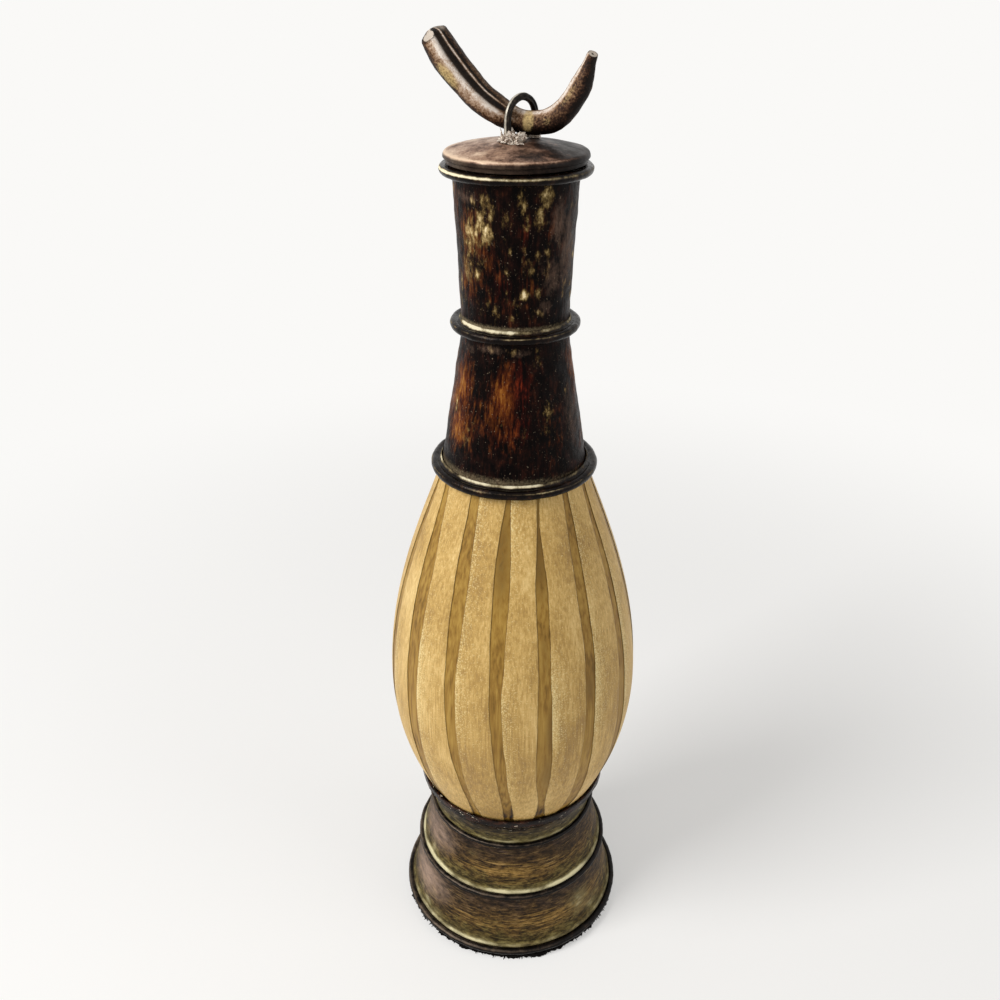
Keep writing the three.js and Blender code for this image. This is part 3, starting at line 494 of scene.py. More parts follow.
# Painted highlight: grey-brown along the top of the wire, strongest on the left.
wire_top_highlight = add(tree, "Attribute", attribute_name="top").outputs["Fac"]
top_highlight_cut = add(tree, "Math", {0: rub, 1: wire_top_highlight}, operation="MULTIPLY")
top_highlight_cover = add(tree, "MapRange", {"Value": top_highlight_cut, "From Min": 0.24, "From Max": 0.62})
wire_tones = add(tree, "Mix", {0: top_highlight_cover, 6: wire_colour, 7: linear("#66584A")}, data_type="RGBA")
feed(tree, surface, {
    "Base Color": wire_tones, "Roughness": wire_sheen, "Normal": wire_bump, "Metallic": 0.35,
    "Specular IOR Level": 0.15})


def hoop(name, foot_z, foot_radius, wire, node):
    """A wire hoop that lies against the foot of a step."""
    ring = arc(foot_radius + GAP + wire, foot_z + HOOP_LIFT + wire, wire, 0, 360, 20)[:-1]
    piece = turn(name, ring, facets=240)
    uneven(piece, depth=0.22, size=5)
    uneven(piece, depth=0.12, size=1.6)
    # Painted highlight along the top of the wire, strongest on the left.
    paint(piece, "top", lambda p: near(p[:, 2], foot_z + HOOP_LIFT + 1.7 * wire, 0.35 * wire)
          * (0.75 - 0.4 * np.sin(around(p))))
    fit(piece, blackened, "blackened_metal", "vessel", node)


hoop("lower_step_wire", LOWER_FOOT_Z, LOWER_FOOT_RADIUS, LOWER_WIRE, "lower_hoop")

# Middle step of the base: the same turning and paint one size smaller.
# It is socketed over the tenon of the lower step, with a thinner wire.
MIDDLE_FOOT_Z = LOWER_TOP_Z + GAP
MIDDLE_FOOT_RADIUS = 50.1
MIDDLE_TOP_Z = MIDDLE_FOOT_Z + 30.6
MIDDLE_TOP_RADIUS = 43.4
MIDDLE_WIRE = 1.4


def socket(foot_z):
    """Socket in the underside of a step for the tenon of the step below."""
    roof_z = foot_z + TENON_HEIGHT
    return [(BOLT_BORE, roof_z), (TENON_RADIUS + GAP, roof_z), (TENON_RADIUS + GAP, foot_z)]


middle_foot, middle_skirt = step_foot(MIDDLE_FOOT_Z, MIDDLE_FOOT_RADIUS, MIDDLE_WIRE)
middle_step = turn("middle_step", [
    *socket(MIDDLE_FOOT_Z), *middle_foot,
    *step_side(middle_skirt, MIDDLE_TOP_RADIUS, MIDDLE_TOP_Z, rows=28)])
uneven(middle_step, depth=0.2, size=8, share=lambda p: from_axis(p) > MIDDLE_TOP_RADIUS + 0.1)
step_paint(
    middle_step, MIDDLE_FOOT_Z, MIDDLE_TOP_Z, MIDDLE_WIRE, line=0.74, press=(0.05, 0.6), lit_side_blush=0.72,
    dabs=[(-62, 47, 4, 5, 0.4), (-28, 60, 5, 4, 0.2), (38, 56, 8, 6, 0.16), (-150, 52, 9, 6, 0.3)])
fit(middle_step, bronze, "bronzed_wood", "vessel", "middle_tier")
hoop("middle_step_wire", MIDDLE_FOOT_Z, MIDDLE_FOOT_RADIUS, MIDDLE_WIRE, "middle_hoop")

# Collar: a turned cup that holds the foot of the body, waisted, with a flared lip.
# The lip is sealed to the body with dark glossy varnish that has run; the white glints on it are painted
# highlights, and the collar under the body and the line above its wire are darkened with painted shade.
COLLAR_FOOT_Z = MIDDLE_TOP_Z + GAP
COLLAR_FOOT_RADIUS = 43
COLLAR_WIRE = 1.2
COLLAR_LIP_Z = COLLAR_FOOT_Z + 24.1
COLLAR_WAIST_Z = COLLAR_FOOT_Z + 9.5
COLLAR_WALL = 3.4
COLLAR_LIP_WALL = 1.3
COLLAR_LIP_BAND = 3.6
VARNISH_RUN = 6.8
VARNISH_FADE = 1.4
BODY_Z = COLLAR_FOOT_Z + 10.6 + GAP
BODY_TOP_Z = BODY_Z + 197
BELLY_Z = BODY_Z + 76.2
BELLY_RADIUS = 62.8
BODY_FOOT_RADIUS = 40.3
SHOULDER_RADIUS = 34.2
# How much further out the corners of the plain solid's facets lie than their flats
FACET_REACH = 1.00484


def sampled(*pulls):
    """Many points of a curve with four control points."""
    share = np.linspace(0, 1, 200)[:, None]
    a, b, c, d = (np.array(pull) for pull in pulls)
    rest = 1 - share
    return rest ** 3 * a + 3 * share * rest ** 2 * b + 3 * share ** 2 * rest * c + share ** 3 * d


skin = np.vstack([
    sampled((BODY_FOOT_RADIUS, BODY_Z), (BODY_FOOT_RADIUS + 19.52, BODY_Z + 30.5),
            (BELLY_RADIUS, BELLY_Z - 15.3), (BELLY_RADIUS, BELLY_Z)),
    sampled((BELLY_RADIUS, BELLY_Z), (BELLY_RADIUS, BELLY_Z + 59.1),
            (SHOULDER_RADIUS + 2.77, BODY_TOP_Z - 15.4), (SHOULDER_RADIUS, BODY_TOP_Z))])


def skin_radius(height):
    """Radius of the body's outer skin at a height."""
    return np.interp(height, skin[:, 1], skin[:, 0])


seat = [((float(skin_radius(z)) + GAP) * FACET_REACH, float(z))
        for z in np.linspace(COLLAR_LIP_Z, BODY_Z, 8)]
lip_radius = seat[0][0] + COLLAR_LIP_WALL
waist_radius = seat[-1][0] + COLLAR_WALL
collar_foot = step_foot(COLLAR_FOOT_Z, COLLAR_FOOT_RADIUS, COLLAR_WIRE)[0]
band_z = COLLAR_LIP_Z - COLLAR_LIP_BAND
collar = turn("collar", [
    *socket(COLLAR_FOOT_Z), *collar_foot[:3],
    *straight(collar_foot[2], (waist_radius, COLLAR_WAIST_Z), 10)[1:],
    *cove((waist_radius, COLLAR_WAIST_Z), (waist_radius, (COLLAR_WAIST_Z + band_z) / 2),
          (lip_radius, band_z), 14),
    *straight((lip_radius, band_z), (lip_radius, COLLAR_LIP_Z - 0.9), 4)[1:],
    *arc(lip_radius - 0.6, COLLAR_LIP_Z - 0.6, 0.6, 0, 90, 5),
    *seat, (seat[-1][0], BODY_Z - GAP), (BOLT_BORE, BODY_Z - GAP)])
uneven(collar, depth=0.35, size=5, share=lambda p: from_axis(p) > lip_radius - 1.2)
uneven(collar, depth=0.2, size=8, share=lambda p: from_axis(p) > COLLAR_FOOT_RADIUS + 0.5)
paint(collar, "level", lambda p: 0.3 * np.clip((p[:, 2] - COLLAR_FOOT_Z - 6) / 12, 0, 1) - 0.12)
paint(collar, "pressed", lambda p: 0.2 * near(p[:, 2], COLLAR_WAIST_Z, 3))
paint(collar, "patina", lambda p: (
    0.42 * near(p[:, 2], COLLAR_FOOT_Z + 4, 1.2) + 0.26 * near(p[:, 2], COLLAR_FOOT_Z + 6, 4))
    * (0.75 + 0.25 * np.cos(around(p) + 0.3)) * patchy(p, 2))
# The lip band is varnish; the line just above the wire and the darkening of the upper collar under the body
# are painted shade.
paint(collar, "varnish_and_shade", lambda p: np.clip((
    p[:, 2] - band_z + VARNISH_RUN + 0.9 * np.sin(9 * around(p) + 1)
    + 0.6 * np.sin(23 * around(p)) + 0.4 * np.sin(41 * around(p) + 2)) / VARNISH_FADE, 0, 1)
    + 0.7 * near(p[:, 2], COLLAR_FOOT_Z + 2.9, 0.6)
    + 0.6 * np.clip((p[:, 2] - COLLAR_FOOT_Z - 5) / 5, 0, 1))
fit(collar, bronze, "bronzed_wood", "vessel", "collar_cup")
hoop("collar_wire", COLLAR_FOOT_Z, COLLAR_FOOT_RADIUS, COLLAR_WIRE, "collar_hoop")

# Bolt and washer: plain zinc-plated steel, put in from below through the steps into the body.
# They stay out of sight behind the felt.

# Zinc plate on steel: cool grey metal, with paler crystals about 1.5 mm across
steel, tree, surface, place = start_material("zinc_plated_steel")
spangle = add(tree, "TexVoronoi", {"Vector": place, "Scale": 0.6})
steel_colour = add(tree, "ValToRGB", {0: spangle}, ramp=[(0.1, "#84888C"), (0.8, "#A9ADB0")])
steel_sheen = add(tree, "MapRange", {"Value": spangle, "To Min": 0.3, "To Max": 0.45})
feed(tree, surface, {"Base Color": steel_colour, "Roughness": steel_sheen, "Metallic": 1})


def finish_solid(node, material):
    """Gives its finish to a plain solid that stays in place."""
    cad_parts[node].data.materials.clear()
    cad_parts[node].data.materials.append(material)


finish_solid("base_bolt", steel)
finish_solid("base_washer", steel)

# Body core: a hollow turned egg, stained brown, with a spigot on top for the neck.
# Only narrow stripes of it show, between the strips that are laid on it.
CORE_INSET = 0.35
CAVITY_INSET = 6
CAVITY_FLOOR_Z = BODY_Z + 13
CAVITY_TOP_Z = BODY_TOP_Z - 4.5
SPIGOT_RADIUS = 30
SPIGOT_WALL = 3
SPIGOT_TOP_Z = BODY_TOP_Z + 10
BOLT_HOLE_TOP_Z = BODY_Z + 9.3

# Brown stain on wood: tan and half dull, with darker streaks about 1 mm wide that run up and down,
# dark stain in places, and cracks near black along the feet of two stripes
stained, tree, surface, place = start_material("brown_stained_wood")
core_grain_place = add(tree, "Mapping", {"Vector": place, "Scale": (0.7, 0.7, 0.035)})
core_grain = add(tree, "TexNoise", {"Vector": core_grain_place, "Scale": 1, "Detail": 4, "Roughness": 0.55})
core_cloud = add(tree, "TexNoise", {"Vector": place, "Scale": 0.05, "Detail": 4})
core_tone = add(tree, "Math", {0: core_cloud, 1: 0.6, 2: core_grain}, operation="MULTIPLY_ADD")
core_colour = add(tree, "ValToRGB", {0: core_tone}, ramp=[
    (0.55, "#6E5018"), (0.7, "#8A6626"), (0.82, "#9A7631"), (1.0, "#AB873E")])
stain = add(tree, "Attribute", attribute_name="stain").outputs["Fac"]
stain_cut = add(tree, "Math", {0: core_grain, 1: stain}, operation="MULTIPLY")
stain_cover = add(tree, "MapRange", {"Value": stain_cut, "From Min": 0.12, "From Max": 0.55})
stained_core = add(tree, "Mix", {0: stain_cover, 6: core_colour, 7: linear("#402808")}, data_type="RGBA")
crack_cover = add(tree, "MapRange", {"Value": stain_cut, "From Min": 0.55, "From Max": 0.85})
cracked_core = add(tree, "Mix", {0: crack_cover, 6: stained_core, 7: linear("#160C05")}, data_type="RGBA")
core_bump = add(tree, "Bump", {"Height": core_grain, "Strength": 0.3, "Distance": 0.0003})
feed(tree, surface, {
    "Base Color": cracked_core, "Normal": core_bump, "Roughness": 0.5, "Specular IOR Level": 0.25})

egg_core = turn("egg_core", [
    (0, BOLT_HOLE_TOP_Z), (BOLT_BORE, BOLT_HOLE_TOP_Z), (BOLT_BORE, BODY_Z),
    *[(float(skin_radius(z)) - CORE_INSET, float(z)) for z in np.linspace(BODY_Z, BODY_TOP_Z, 70)],
    (SPIGOT_RADIUS, BODY_TOP_Z), (SPIGOT_RADIUS, SPIGOT_TOP_Z), (SPIGOT_RADIUS - SPIGOT_WALL, SPIGOT_TOP_Z),
    *[(float(skin_radius(z)) - CAVITY_INSET, float(z))
      for z in np.linspace(CAVITY_TOP_Z, CAVITY_FLOOR_Z, 30)],
    (0, CAVITY_FLOOR_Z)], facets=288)
paint(egg_core, "stain", lambda p: spot_cover(p, [
    (-7.5, 250, 5, 28, 0.62), (14, 254, 5, 30, 0.7), (36, 180, 5, 14, 0.5), (14, 205, 3, 20, 0.4),
    (-6, 97, 5, 8, 0.6), (14, 97, 5, 8, 0.6), (-27, 100, 4, 6, 0.5),
    (-4.6, 97, 0.9, 4, 2.0), (-0.4, 102, 0.9, 6, 2.2), (-1, 96, 0.8, 4, 2.2),
    (13, 104, 0.8, 4, 1.8), (13.6, 98, 0.8, 5, 2.2), (16.6, 99, 0.8, 4, 2.0),
    (18, 164, 5, 20, 0.7), (16, 135, 5, 18, 0.5)]))
fit(egg_core, stained, "core_brown", "vessel", "body_core")

# Veneer strips: sixteen pale strips cut by hand, so their edges wander, glued up and down the egg.
# They are widest at the belly, run under the shoulder ring above and into the collar below.
STRIP_COUNT = 16
FIRST_STRIPE_DEG = 13.7
HAND_SPREAD_DEG = 0.8
STRIP_THICKNESS = 0.3
STRIP_BOTTOM_Z = COLLAR_LIP_Z - 4
STRIP_TOP_Z = BODY_TOP_Z - 2.2
STRIP_ROWS = 150
ACROSS = (0, 0.02, 0.05, 0.11, 0.2, 0.32, 0.44, 0.56, 0.68, 0.8, 0.89, 0.95, 0.98, 1)
INNER_ACROSS = (0.95, 0.5, 0.05)
CUT_HEIGHTS = (100, 118, 138, 158, 182, 207, 232, 254, 272)
CUT_MIDDLE_Z = 186
CUT_HALF_SPAN = 86
CUT_FIT_DEGREE = 6
LEAST_HALF_GAP = 0.45
EDGE_DROP = 0.12
LOFT_SMOOTH_DEG = 50
# For the stripes on the front, at the heights above: how far the brown gap's middle lies
# off its even place in mm, and the gap's width in mm
HAND_CUT = {
    13: ((3.8, 3.8, 3.4, 2.6, 1, 0.8, -0.7, -1.7, -3.5), (6.5, 7, 7.5, 8, 8.4, 9.2, 8.2, 5.3, 3)),
    14: ((8.2, 7.4, 5.3, 3.7, 1.9, 2.2, 1.6, 1.4, 0.9), (3, 3.3, 4.4, 5.4, 5.7, 6.6, 6.9, 5.6, 4.2)),
    15: ((5.5, 4.8, 3.1, 1.9, 0.5, 1, 1.4, 1.9, 2.6), (4.2, 5, 5.3, 5.6, 5.9, 6.9, 7.2, 5.1, 2)),
    0: ((1.6, 0.5, -0.3, -0.5, -0.5, 0, 0.4, 0.8, 1.8), (3.5, 4.9, 7, 8, 6.1, 6.4, 5.3, 2.1, 1)),
    1: ((-1.7, -1, -1.4, -1.1, -0.2, 0.3, 0.6, 1.4, 1.8), (7, 7.4, 6.6, 6, 5.6, 5.8, 4.9, 4.2, 2.8)),
    2: ((-0.1, -0.1, -0.1, -0.4, -0.1, 1, 1, 1.8, 2.2), (6, 6.8, 7.2, 7, 5.8, 4.9, 4.4, 3.3, 2.6)),
}
PLAIN_WIDTHS = (4, 4.8, 5.6, 6.4, 6.2, 6.4, 5.8, 4.4, 2.2)
cut_heights = (np.array(CUT_HEIGHTS) - CUT_MIDDLE_Z) / CUT_HALF_SPAN
cut_fits = {
    index: [np.polynomial.polynomial.polyfit(cut_heights, measures, CUT_FIT_DEGREE) for measures in cut]
    for index, cut in HAND_CUT.items()}
# Plain skins by their number of rings and points, as the strips share one
blanks = {}


def loft(name, rings):
    """A closed skin over rings of points in mm: a disc is extruded once for each ring, then placed."""
    count, facets = len(rings), len(rings[0])
    if (count, facets) not in blanks:
        bpy.ops.object.select_all(action="DESELECT")
        bpy.ops.mesh.primitive_circle_add(vertices=facets, radius=1, fill_type="NGON")
        bpy.ops.object.mode_set(mode="EDIT")
        bpy.ops.mesh.select_all(action="SELECT")
        for _ in range(count - 1):
            bpy.ops.mesh.extrude_region_move(TRANSFORM_OT_translate={"value": (0, 0, 1)})
        bpy.ops.mesh.select_all(action="SELECT")
        bpy.ops.mesh.fill_holes(sides=0)
        bpy.ops.mesh.normals_make_consistent(inside=False)
        bpy.ops.object.mode_set(mode="OBJECT")
        blanks[count, facets] = bpy.context.object.data.copy()
        bpy.data.objects.remove(bpy.context.object)
    mesh = blanks[count, facets].copy()
    piece = bpy.data.objects.new(name, mesh)
    bpy.context.collection.objects.link(piece)
    places = np.empty(len(mesh.vertices) * 3, np.float32)
    mesh.vertices.foreach_get("co", places)
    places = places.reshape(-1, 3)
    ring = np.rint(places[:, 2]).astype(int)
    turns = np.arctan2(places[:, 1], places[:, 0]) / math.tau
    facet = np.rint(turns * facets).astype(int) % facets
    mesh.vertices.foreach_set("co", (np.array(rings)[ring, facet] * MM).astype(np.float32).ravel())
    mesh.update()
    bpy.ops.object.select_all(action="DESELECT")
    piece.select_set(True)
    bpy.context.view_layer.objects.active = piece
    bpy.ops.object.mode_set(mode="EDIT")
    bpy.ops.mesh.select_all(action="SELECT")
    bpy.ops.mesh.normals_make_consistent(inside=False)
    bpy.ops.object.mode_set(mode="OBJECT")
    bpy.ops.object.shade_smooth_by_angle(angle=math.radians(LOFT_SMOOTH_DEG))
    return piece, ring, facet


def stripe_gap(index, height):
    """Degrees at which the brown gap before a strip begins and ends at a height."""
    even = FIRST_STRIPE_DEG + 360 / STRIP_COUNT * index
    middle = even + HAND_SPREAD_DEG * math.sin(math.radians(even))
    fits = cut_fits.get(index)
    if fits:
        share = (height - CUT_MIDDLE_Z) / CUT_HALF_SPAN
        off, width = (np.polynomial.polynomial.polyval(share, measure) for measure in fits)
    else:
        off = 2.2 * noise.noise(Vector((index * 7.3, height / 55, 0.5)))
        width = np.interp(height, CUT_HEIGHTS, PLAIN_WIDTHS)
        width *= 1 + 0.3 * noise.noise(Vector((index * 3.1, height / 38, 4.5)))
    edges = []
    for side in (-1, 1):
        wander = 0.4 * noise.noise(Vector((index * 5.7 + side, height / 18, 9.5)))
        wander += 0.15 * noise.noise(Vector((index * 2.9 + side, height / 6, 2.5)))
        wander += 0.12 * noise.noise(Vector((index * 8.3 + side, height / 2.6, 6.5)))
        along = off + side * max(width / 2, LEAST_HALF_GAP) + wander * min(1, width / 4)
        edges.append(middle + math.degrees(along / float(skin_radius(height))))
    return edges


# Pale veneer, sanded and oiled: golden cream with fine grain up and down, grey-brown smudges some
# 30 mm across, pale specks under 1 mm that gather along one edge, and dark lines at the cut edges, partly
# glue and partly painted shade at the step down to the core
veneer, tree, surface, place = start_material("pale_oiled_veneer")
grain_place = add(tree, "Mapping", {"Vector": place, "Scale": (1.1, 1.1, 0.045)})
grain = add(tree, "TexNoise", {"Vector": grain_place, "Scale": 1, "Detail": 5, "Roughness": 0.6})
smudge_place = add(tree, "Mapping", {"Vector": place, "Scale": (0.06, 0.06, 0.03)})
smudges = add(tree, "TexNoise", {"Vector": smudge_place, "Scale": 1, "Detail": 5, "Roughness": 0.6})
mottle = add(tree, "TexNoise", {"Vector": place, "Scale": 0.35, "Detail": 6, "Roughness": 0.72})
specks = add(tree, "TexNoise", {"Vector": place, "Scale": 1.5, "Detail": 3, "Roughness": 0.6})
smudge_part = add(tree, "Math", {0: smudges, 1: 0.45}, operation="MULTIPLY")
tone = add(tree, "Math", {0: grain, 1: 0.46, 2: smudge_part}, operation="MULTIPLY_ADD")
tones = add(tree, "Math", {0: mottle, 1: 0.19, 2: tone}, operation="MULTIPLY_ADD")
board = add(tree, "Attribute", attribute_name="board").outputs["Fac"]
board_tone = add(tree, "Math", {0: board, 1: 0.022, 2: tones}, operation="MULTIPLY_ADD")
pale_colour = add(tree, "ValToRGB", {0: board_tone}, ramp=[
    (0.39, "#9C7A43"), (0.49, "#B4904E"), (0.58, "#CAA663"), (0.69, "#E0C080")])
border = add(tree, "Attribute", attribute_name="border").outputs["Fac"]
speck_cut = add(tree, "Math", {0: border, 1: 0.22, 2: specks}, operation="MULTIPLY_ADD")
speck_cover = add(tree, "MapRange", {"Value": speck_cut, "From Min": 0.59, "From Max": 0.76, "To Max": 0.8})
specked = add(tree, "Mix", {0: speck_cover, 6: pale_colour, 7: linear("#EAD69C")}, data_type="RGBA")
# Dark lines at the cut edges: partly glue, partly painted shade at the step down to the core.
cut_edge = add(tree, "Attribute", attribute_name="cut_edge").outputs["Fac"]
edge_cut = add(tree, "Math", {0: cut_edge, 1: mottle}, operation="MULTIPLY")
edge_cover = add(tree, "MapRange", {"Value": edge_cut, "From Min": 0.2, "From Max": 0.5})
edged = add(tree, "Mix", {0: edge_cover, 6: specked, 7: linear("#4E370E")}, data_type="RGBA")
veneer_sheen = add(tree, "MapRange", {
    "Value": mottle, "From Min": 0.3, "From Max": 0.7, "To Min": 0.42, "To Max": 0.6})
veneer_relief = add(tree, "Math", {0: specks, 1: 0.5, 2: grain}, operation="MULTIPLY_ADD")
veneer_bump = add(tree, "Bump", {"Height": veneer_relief, "Strength": 0.25, "Distance": 0.0003})
feed(tree, surface, {
    "Base Color": edged, "Roughness": veneer_sheen, "Normal": veneer_bump, "Specular IOR Level": 0.3})


def on_skin(degrees, height, inwards):
    """A point at degrees from the front towards the right, a depth inside the body's skin."""
    radius = float(skin_radius(height)) - inwards
    return (radius * math.sin(math.radians(degrees)), -radius * math.cos(math.radians(degrees)), height)


# A strip on the front that is plainly darker than its neighbours
BOARD_TONES = {14: -3.4}
# Clouds of darker and of paler tone on the front, as soft spots: smudges in the wood, except the dark
# ones at 39 and 56 degrees, painted shade on the right, and the pale one at -59 degrees, a painted highlight
DARK_CLOUDS_AND_SHADE = [
    (39, 153, 12, 20, 4), (56, 169, 9, 22, 4.5), (40, 242, 7, 13, 4), (-4.6, 171, 7, 10, 3),
    (24, 150, 6, 16, 3.5)]
PALE_CLOUDS_AND_LIGHT = [(-59, 214, 8, 24, 5), (-15, 263, 5, 12, 4.5), (-26, 186, 8, 9, 4), (-12, 209, 5, 12, 3)]
SPECK_Z = 165
SPECK_SPREAD = 40
SPECK_BORDER_SHARE = 0.3
DARK_EDGE_Z = 190
DARK_EDGE_FADE = 40
LOW_EDGE_TOP_Z = 108
LOW_EDGE_FADE = 8
boards = random.Random(21)
strip_heights = np.linspace(STRIP_BOTTOM_Z, STRIP_TOP_Z, STRIP_ROWS)
for index in range(STRIP_COUNT):
    rings = []
    for height in strip_heights:
        following = (index + 1) % STRIP_COUNT
        left = stripe_gap(index, height)[1]
        right = stripe_gap(following, height)[0] + (0 if following else 360)
        ring = [on_skin(left + (right - left) * u, height, EDGE_DROP * abs(2 * u - 1) ** 30) for u in ACROSS]
        ring += [on_skin(left + (right - left) * u, height, STRIP_THICKNESS) for u in INNER_ACROSS]
        rings.append(ring)
    strip, ring, facet = loft(f"veneer_{index + 1:02d}", rings)
    across = np.array(ACROSS + INNER_ACROSS)[facet]
    outside = facet < len(ACROSS)
    grainy = np.array([
        0.3 + 0.8 * noise.noise(Vector((index * 4.1, height / 45, 1.5)))
        + 0.55 * near(height, SPECK_Z, SPECK_SPREAD) for height in strip_heights])[ring]
    upper = 0.75 + 0.45 * np.clip((strip_heights[ring] - DARK_EDGE_Z) / DARK_EDGE_FADE, 0, 1)
    low_edge_share = np.clip((LOW_EDGE_TOP_Z - strip_heights[ring]) / LOW_EDGE_FADE, 0, 1)
    from_edge = np.minimum(across, 1 - across)
    drawn_tone = boards.uniform(-1, 1)
    strip_tone = BOARD_TONES.get(index, drawn_tone)
    # The board tone takes in painted shade on the right and a painted highlight high on the left.
    paint(strip, "board", lambda p: strip_tone + spot_cover(p, PALE_CLOUDS_AND_LIGHT) - spot_cover(p, DARK_CLOUDS_AND_SHADE))
    mark(strip, "border", np.where(outside, np.clip(grainy, 0, 1) * np.exp(-across / SPECK_BORDER_SHARE), 0))
    # Dark lines at the cut edges, partly painted shade: darker towards the top, wider and darker near the
    # foot.
    mark(strip, "cut_edge", np.where(outside, (upper + 0.5 * low_edge_share) * np.clip(
        1 - from_edge / (0.035 + 0.06 * low_edge_share), 0, 1), 1))
    fit(strip, veneer, "pale_veneer", "vessel", f"veneer_strip_{index + 1:02d}")

# Lower neck: a bored cone that sits on the body's spigot, charred and lacquered in patches.
# The lacquer is near black, glows amber where it is thin, and has lumps and runs in it.
LOWER_NECK_Z = BODY_TOP_Z + GAP
LOWER_NECK_TOP_Z = LOWER_NECK_Z + 65
NECK_FOOT_RADIUS = 33.5
NECK_JOINT_RADIUS = 23.3
NECK_JOINT_BORE = 20.7
NECK_BORE = 18.8
SLEEVE_HALF = 9
SIDE_DEG = 72


def strewn(seed, count, low, high, widths, heights, strengths):
    """Spots strewn over the sides and back of a neck piece, where the front's own spots end."""
    draw = random.Random(seed)
    return [(draw.uniform(SIDE_DEG, 360 - SIDE_DEG), draw.uniform(low, high), draw.uniform(*widths),
             draw.uniform(*heights), draw.uniform(*strengths)) for _ in range(count)]


def flecks(seed, count, low, high):
    """Faint upright flecks, strewn all round a neck piece."""
    draw = random.Random(seed)
    return [(draw.uniform(0, 360), draw.uniform(low, high), draw.uniform(1.1, 2.4), draw.uniform(2.2, 5.5),
             draw.uniform(0.2, 0.46)) for _ in range(count)]


# Charred lacquer over wood, brushed and rubbed: black-brown streaks about 1 mm wide that run up and
# down, amber and red where it is thin, cream where it is rubbed through, grey bloom with a painted sheen
# on the right side, fine golden dust that partly stands for painted glints, and a gloss
lacquer, tree, surface, place = start_material("charred_amber_lacquer")
streak_place = add(tree, "Mapping", {"Vector": place, "Scale": (0.75, 0.75, 0.12)})
streaks = add(tree, "TexNoise", {"Vector": streak_place, "Scale": 1, "Detail": 6, "Roughness": 0.65})
lumps = add(tree, "TexNoise", {"Vector": place, "Scale": 0.16, "Detail": 5, "Roughness": 0.6})
dabs_place = add(tree, "Mapping", {"Vector": place, "Scale": (0.55, 0.55, 0.3)})
dabs = add(tree, "TexNoise", {"Vector": dabs_place, "Scale": 1, "Detail": 5, "Roughness": 0.7})
dust_and_glint_grains = add(tree, "TexNoise", {"Vector": place, "Scale": 1.2, "Detail": 3, "Roughness": 0.6})
lump_part = add(tree, "Math", {0: lumps, 1: 0.5}, operation="MULTIPLY")
char_tone = add(tree, "Math", {0: streaks, 1: 0.5, 2: lump_part}, operation="MULTIPLY_ADD")
char = add(tree, "ValToRGB", {0: char_tone}, ramp=[
    (0.42, "#030101"), (0.5, "#0C0403"), (0.57, "#1C0B07"), (0.65, "#381C11"), (0.75, "#5C3826")])
glow = add(tree, "Attribute", attribute_name="amber").outputs["Fac"]
glow_cut = add(tree, "Math", {0: char_tone, 1: 1.7, 2: glow}, operation="MULTIPLY_ADD")
glow_cover = add(tree, "MapRange", {"Value": glow_cut, "From Min": 1.04, "From Max": 1.75, "To Max": 0.92})
glow_mix = add(tree, "Math", {0: glow, 1: 0.16, 2: streaks}, operation="MULTIPLY_ADD")
glow_colour = add(tree, "ValToRGB", {0: glow_mix}, ramp=[
    (0.42, "#240905"), (0.53, "#43170A"), (0.63, "#683412"), (0.74, "#8C5620"), (0.85, "#B08040")])
glowing = add(tree, "Mix", {0: glow_cover, 6: char, 7: glow_colour}, data_type="RGBA")
red = add(tree, "Attribute", attribute_name="red").outputs["Fac"]
red_cut = add(tree, "Math", {0: red, 1: streaks}, operation="MULTIPLY")
red_cover = add(tree, "MapRange", {"Value": red_cut, "From Min": 0.14, "From Max": 0.6, "To Max": 0.85})
red_colour = add(tree, "ValToRGB", {0: streaks}, ramp=[
    (0.42, "#120504"), (0.55, "#40100A"), (0.68, "#7A2A14")])
reddened = add(tree, "Mix", {0: red_cover, 6: glowing, 7: red_colour}, data_type="RGBA")
rub = add(tree, "Attribute", attribute_name="rubbed").outputs["Fac"]
rub_cut = add(tree, "Math", {0: dabs, 1: 1.6, 2: rub}, operation="MULTIPLY_ADD")
rub_cover = add(tree, "MapRange", {"Value": rub_cut, "From Min": 1.02, "From Max": 1.72})
rub_colour = add(tree, "ValToRGB", {0: rub_cover}, ramp=[
    (0.1, "#4E3A22"), (0.4, "#8E7444"), (0.7, "#CDB27A"), (0.95, "#F0DCB0")])
rubbed = add(tree, "Mix", {0: rub_cover, 6: reddened, 7: rub_colour}, data_type="RGBA")
# Grey bloom, and a grey painted sheen on the right side.
grey_bloom_and_sheen = add(tree, "Attribute", attribute_name="bloom_and_sheen").outputs["Fac"]
bloom_and_sheen_cut = add(tree, "Math", {0: grey_bloom_and_sheen, 1: dabs}, operation="MULTIPLY")
bloom_and_sheen_cover = add(tree, "MapRange", {"Value": bloom_and_sheen_cut, "From Min": 0.15, "From Max": 0.46})
bloomed_and_sheened = add(tree, "Mix", {0: bloom_and_sheen_cover, 6: rubbed, 7: linear("#7C6354")}, data_type="RGBA")
powder = add(tree, "Attribute", attribute_name="powder").outputs["Fac"]
powder_cut = add(tree, "Math", {0: dust_and_glint_grains, 1: powder}, operation="MULTIPLY")
powder_cover = add(tree, "MapRange", {"Value": powder_cut, "From Min": 0.1, "From Max": 0.5})
powdered = add(tree, "Mix", {0: powder_cover, 6: bloomed_and_sheened, 7: linear("#A08F70")}, data_type="RGBA")
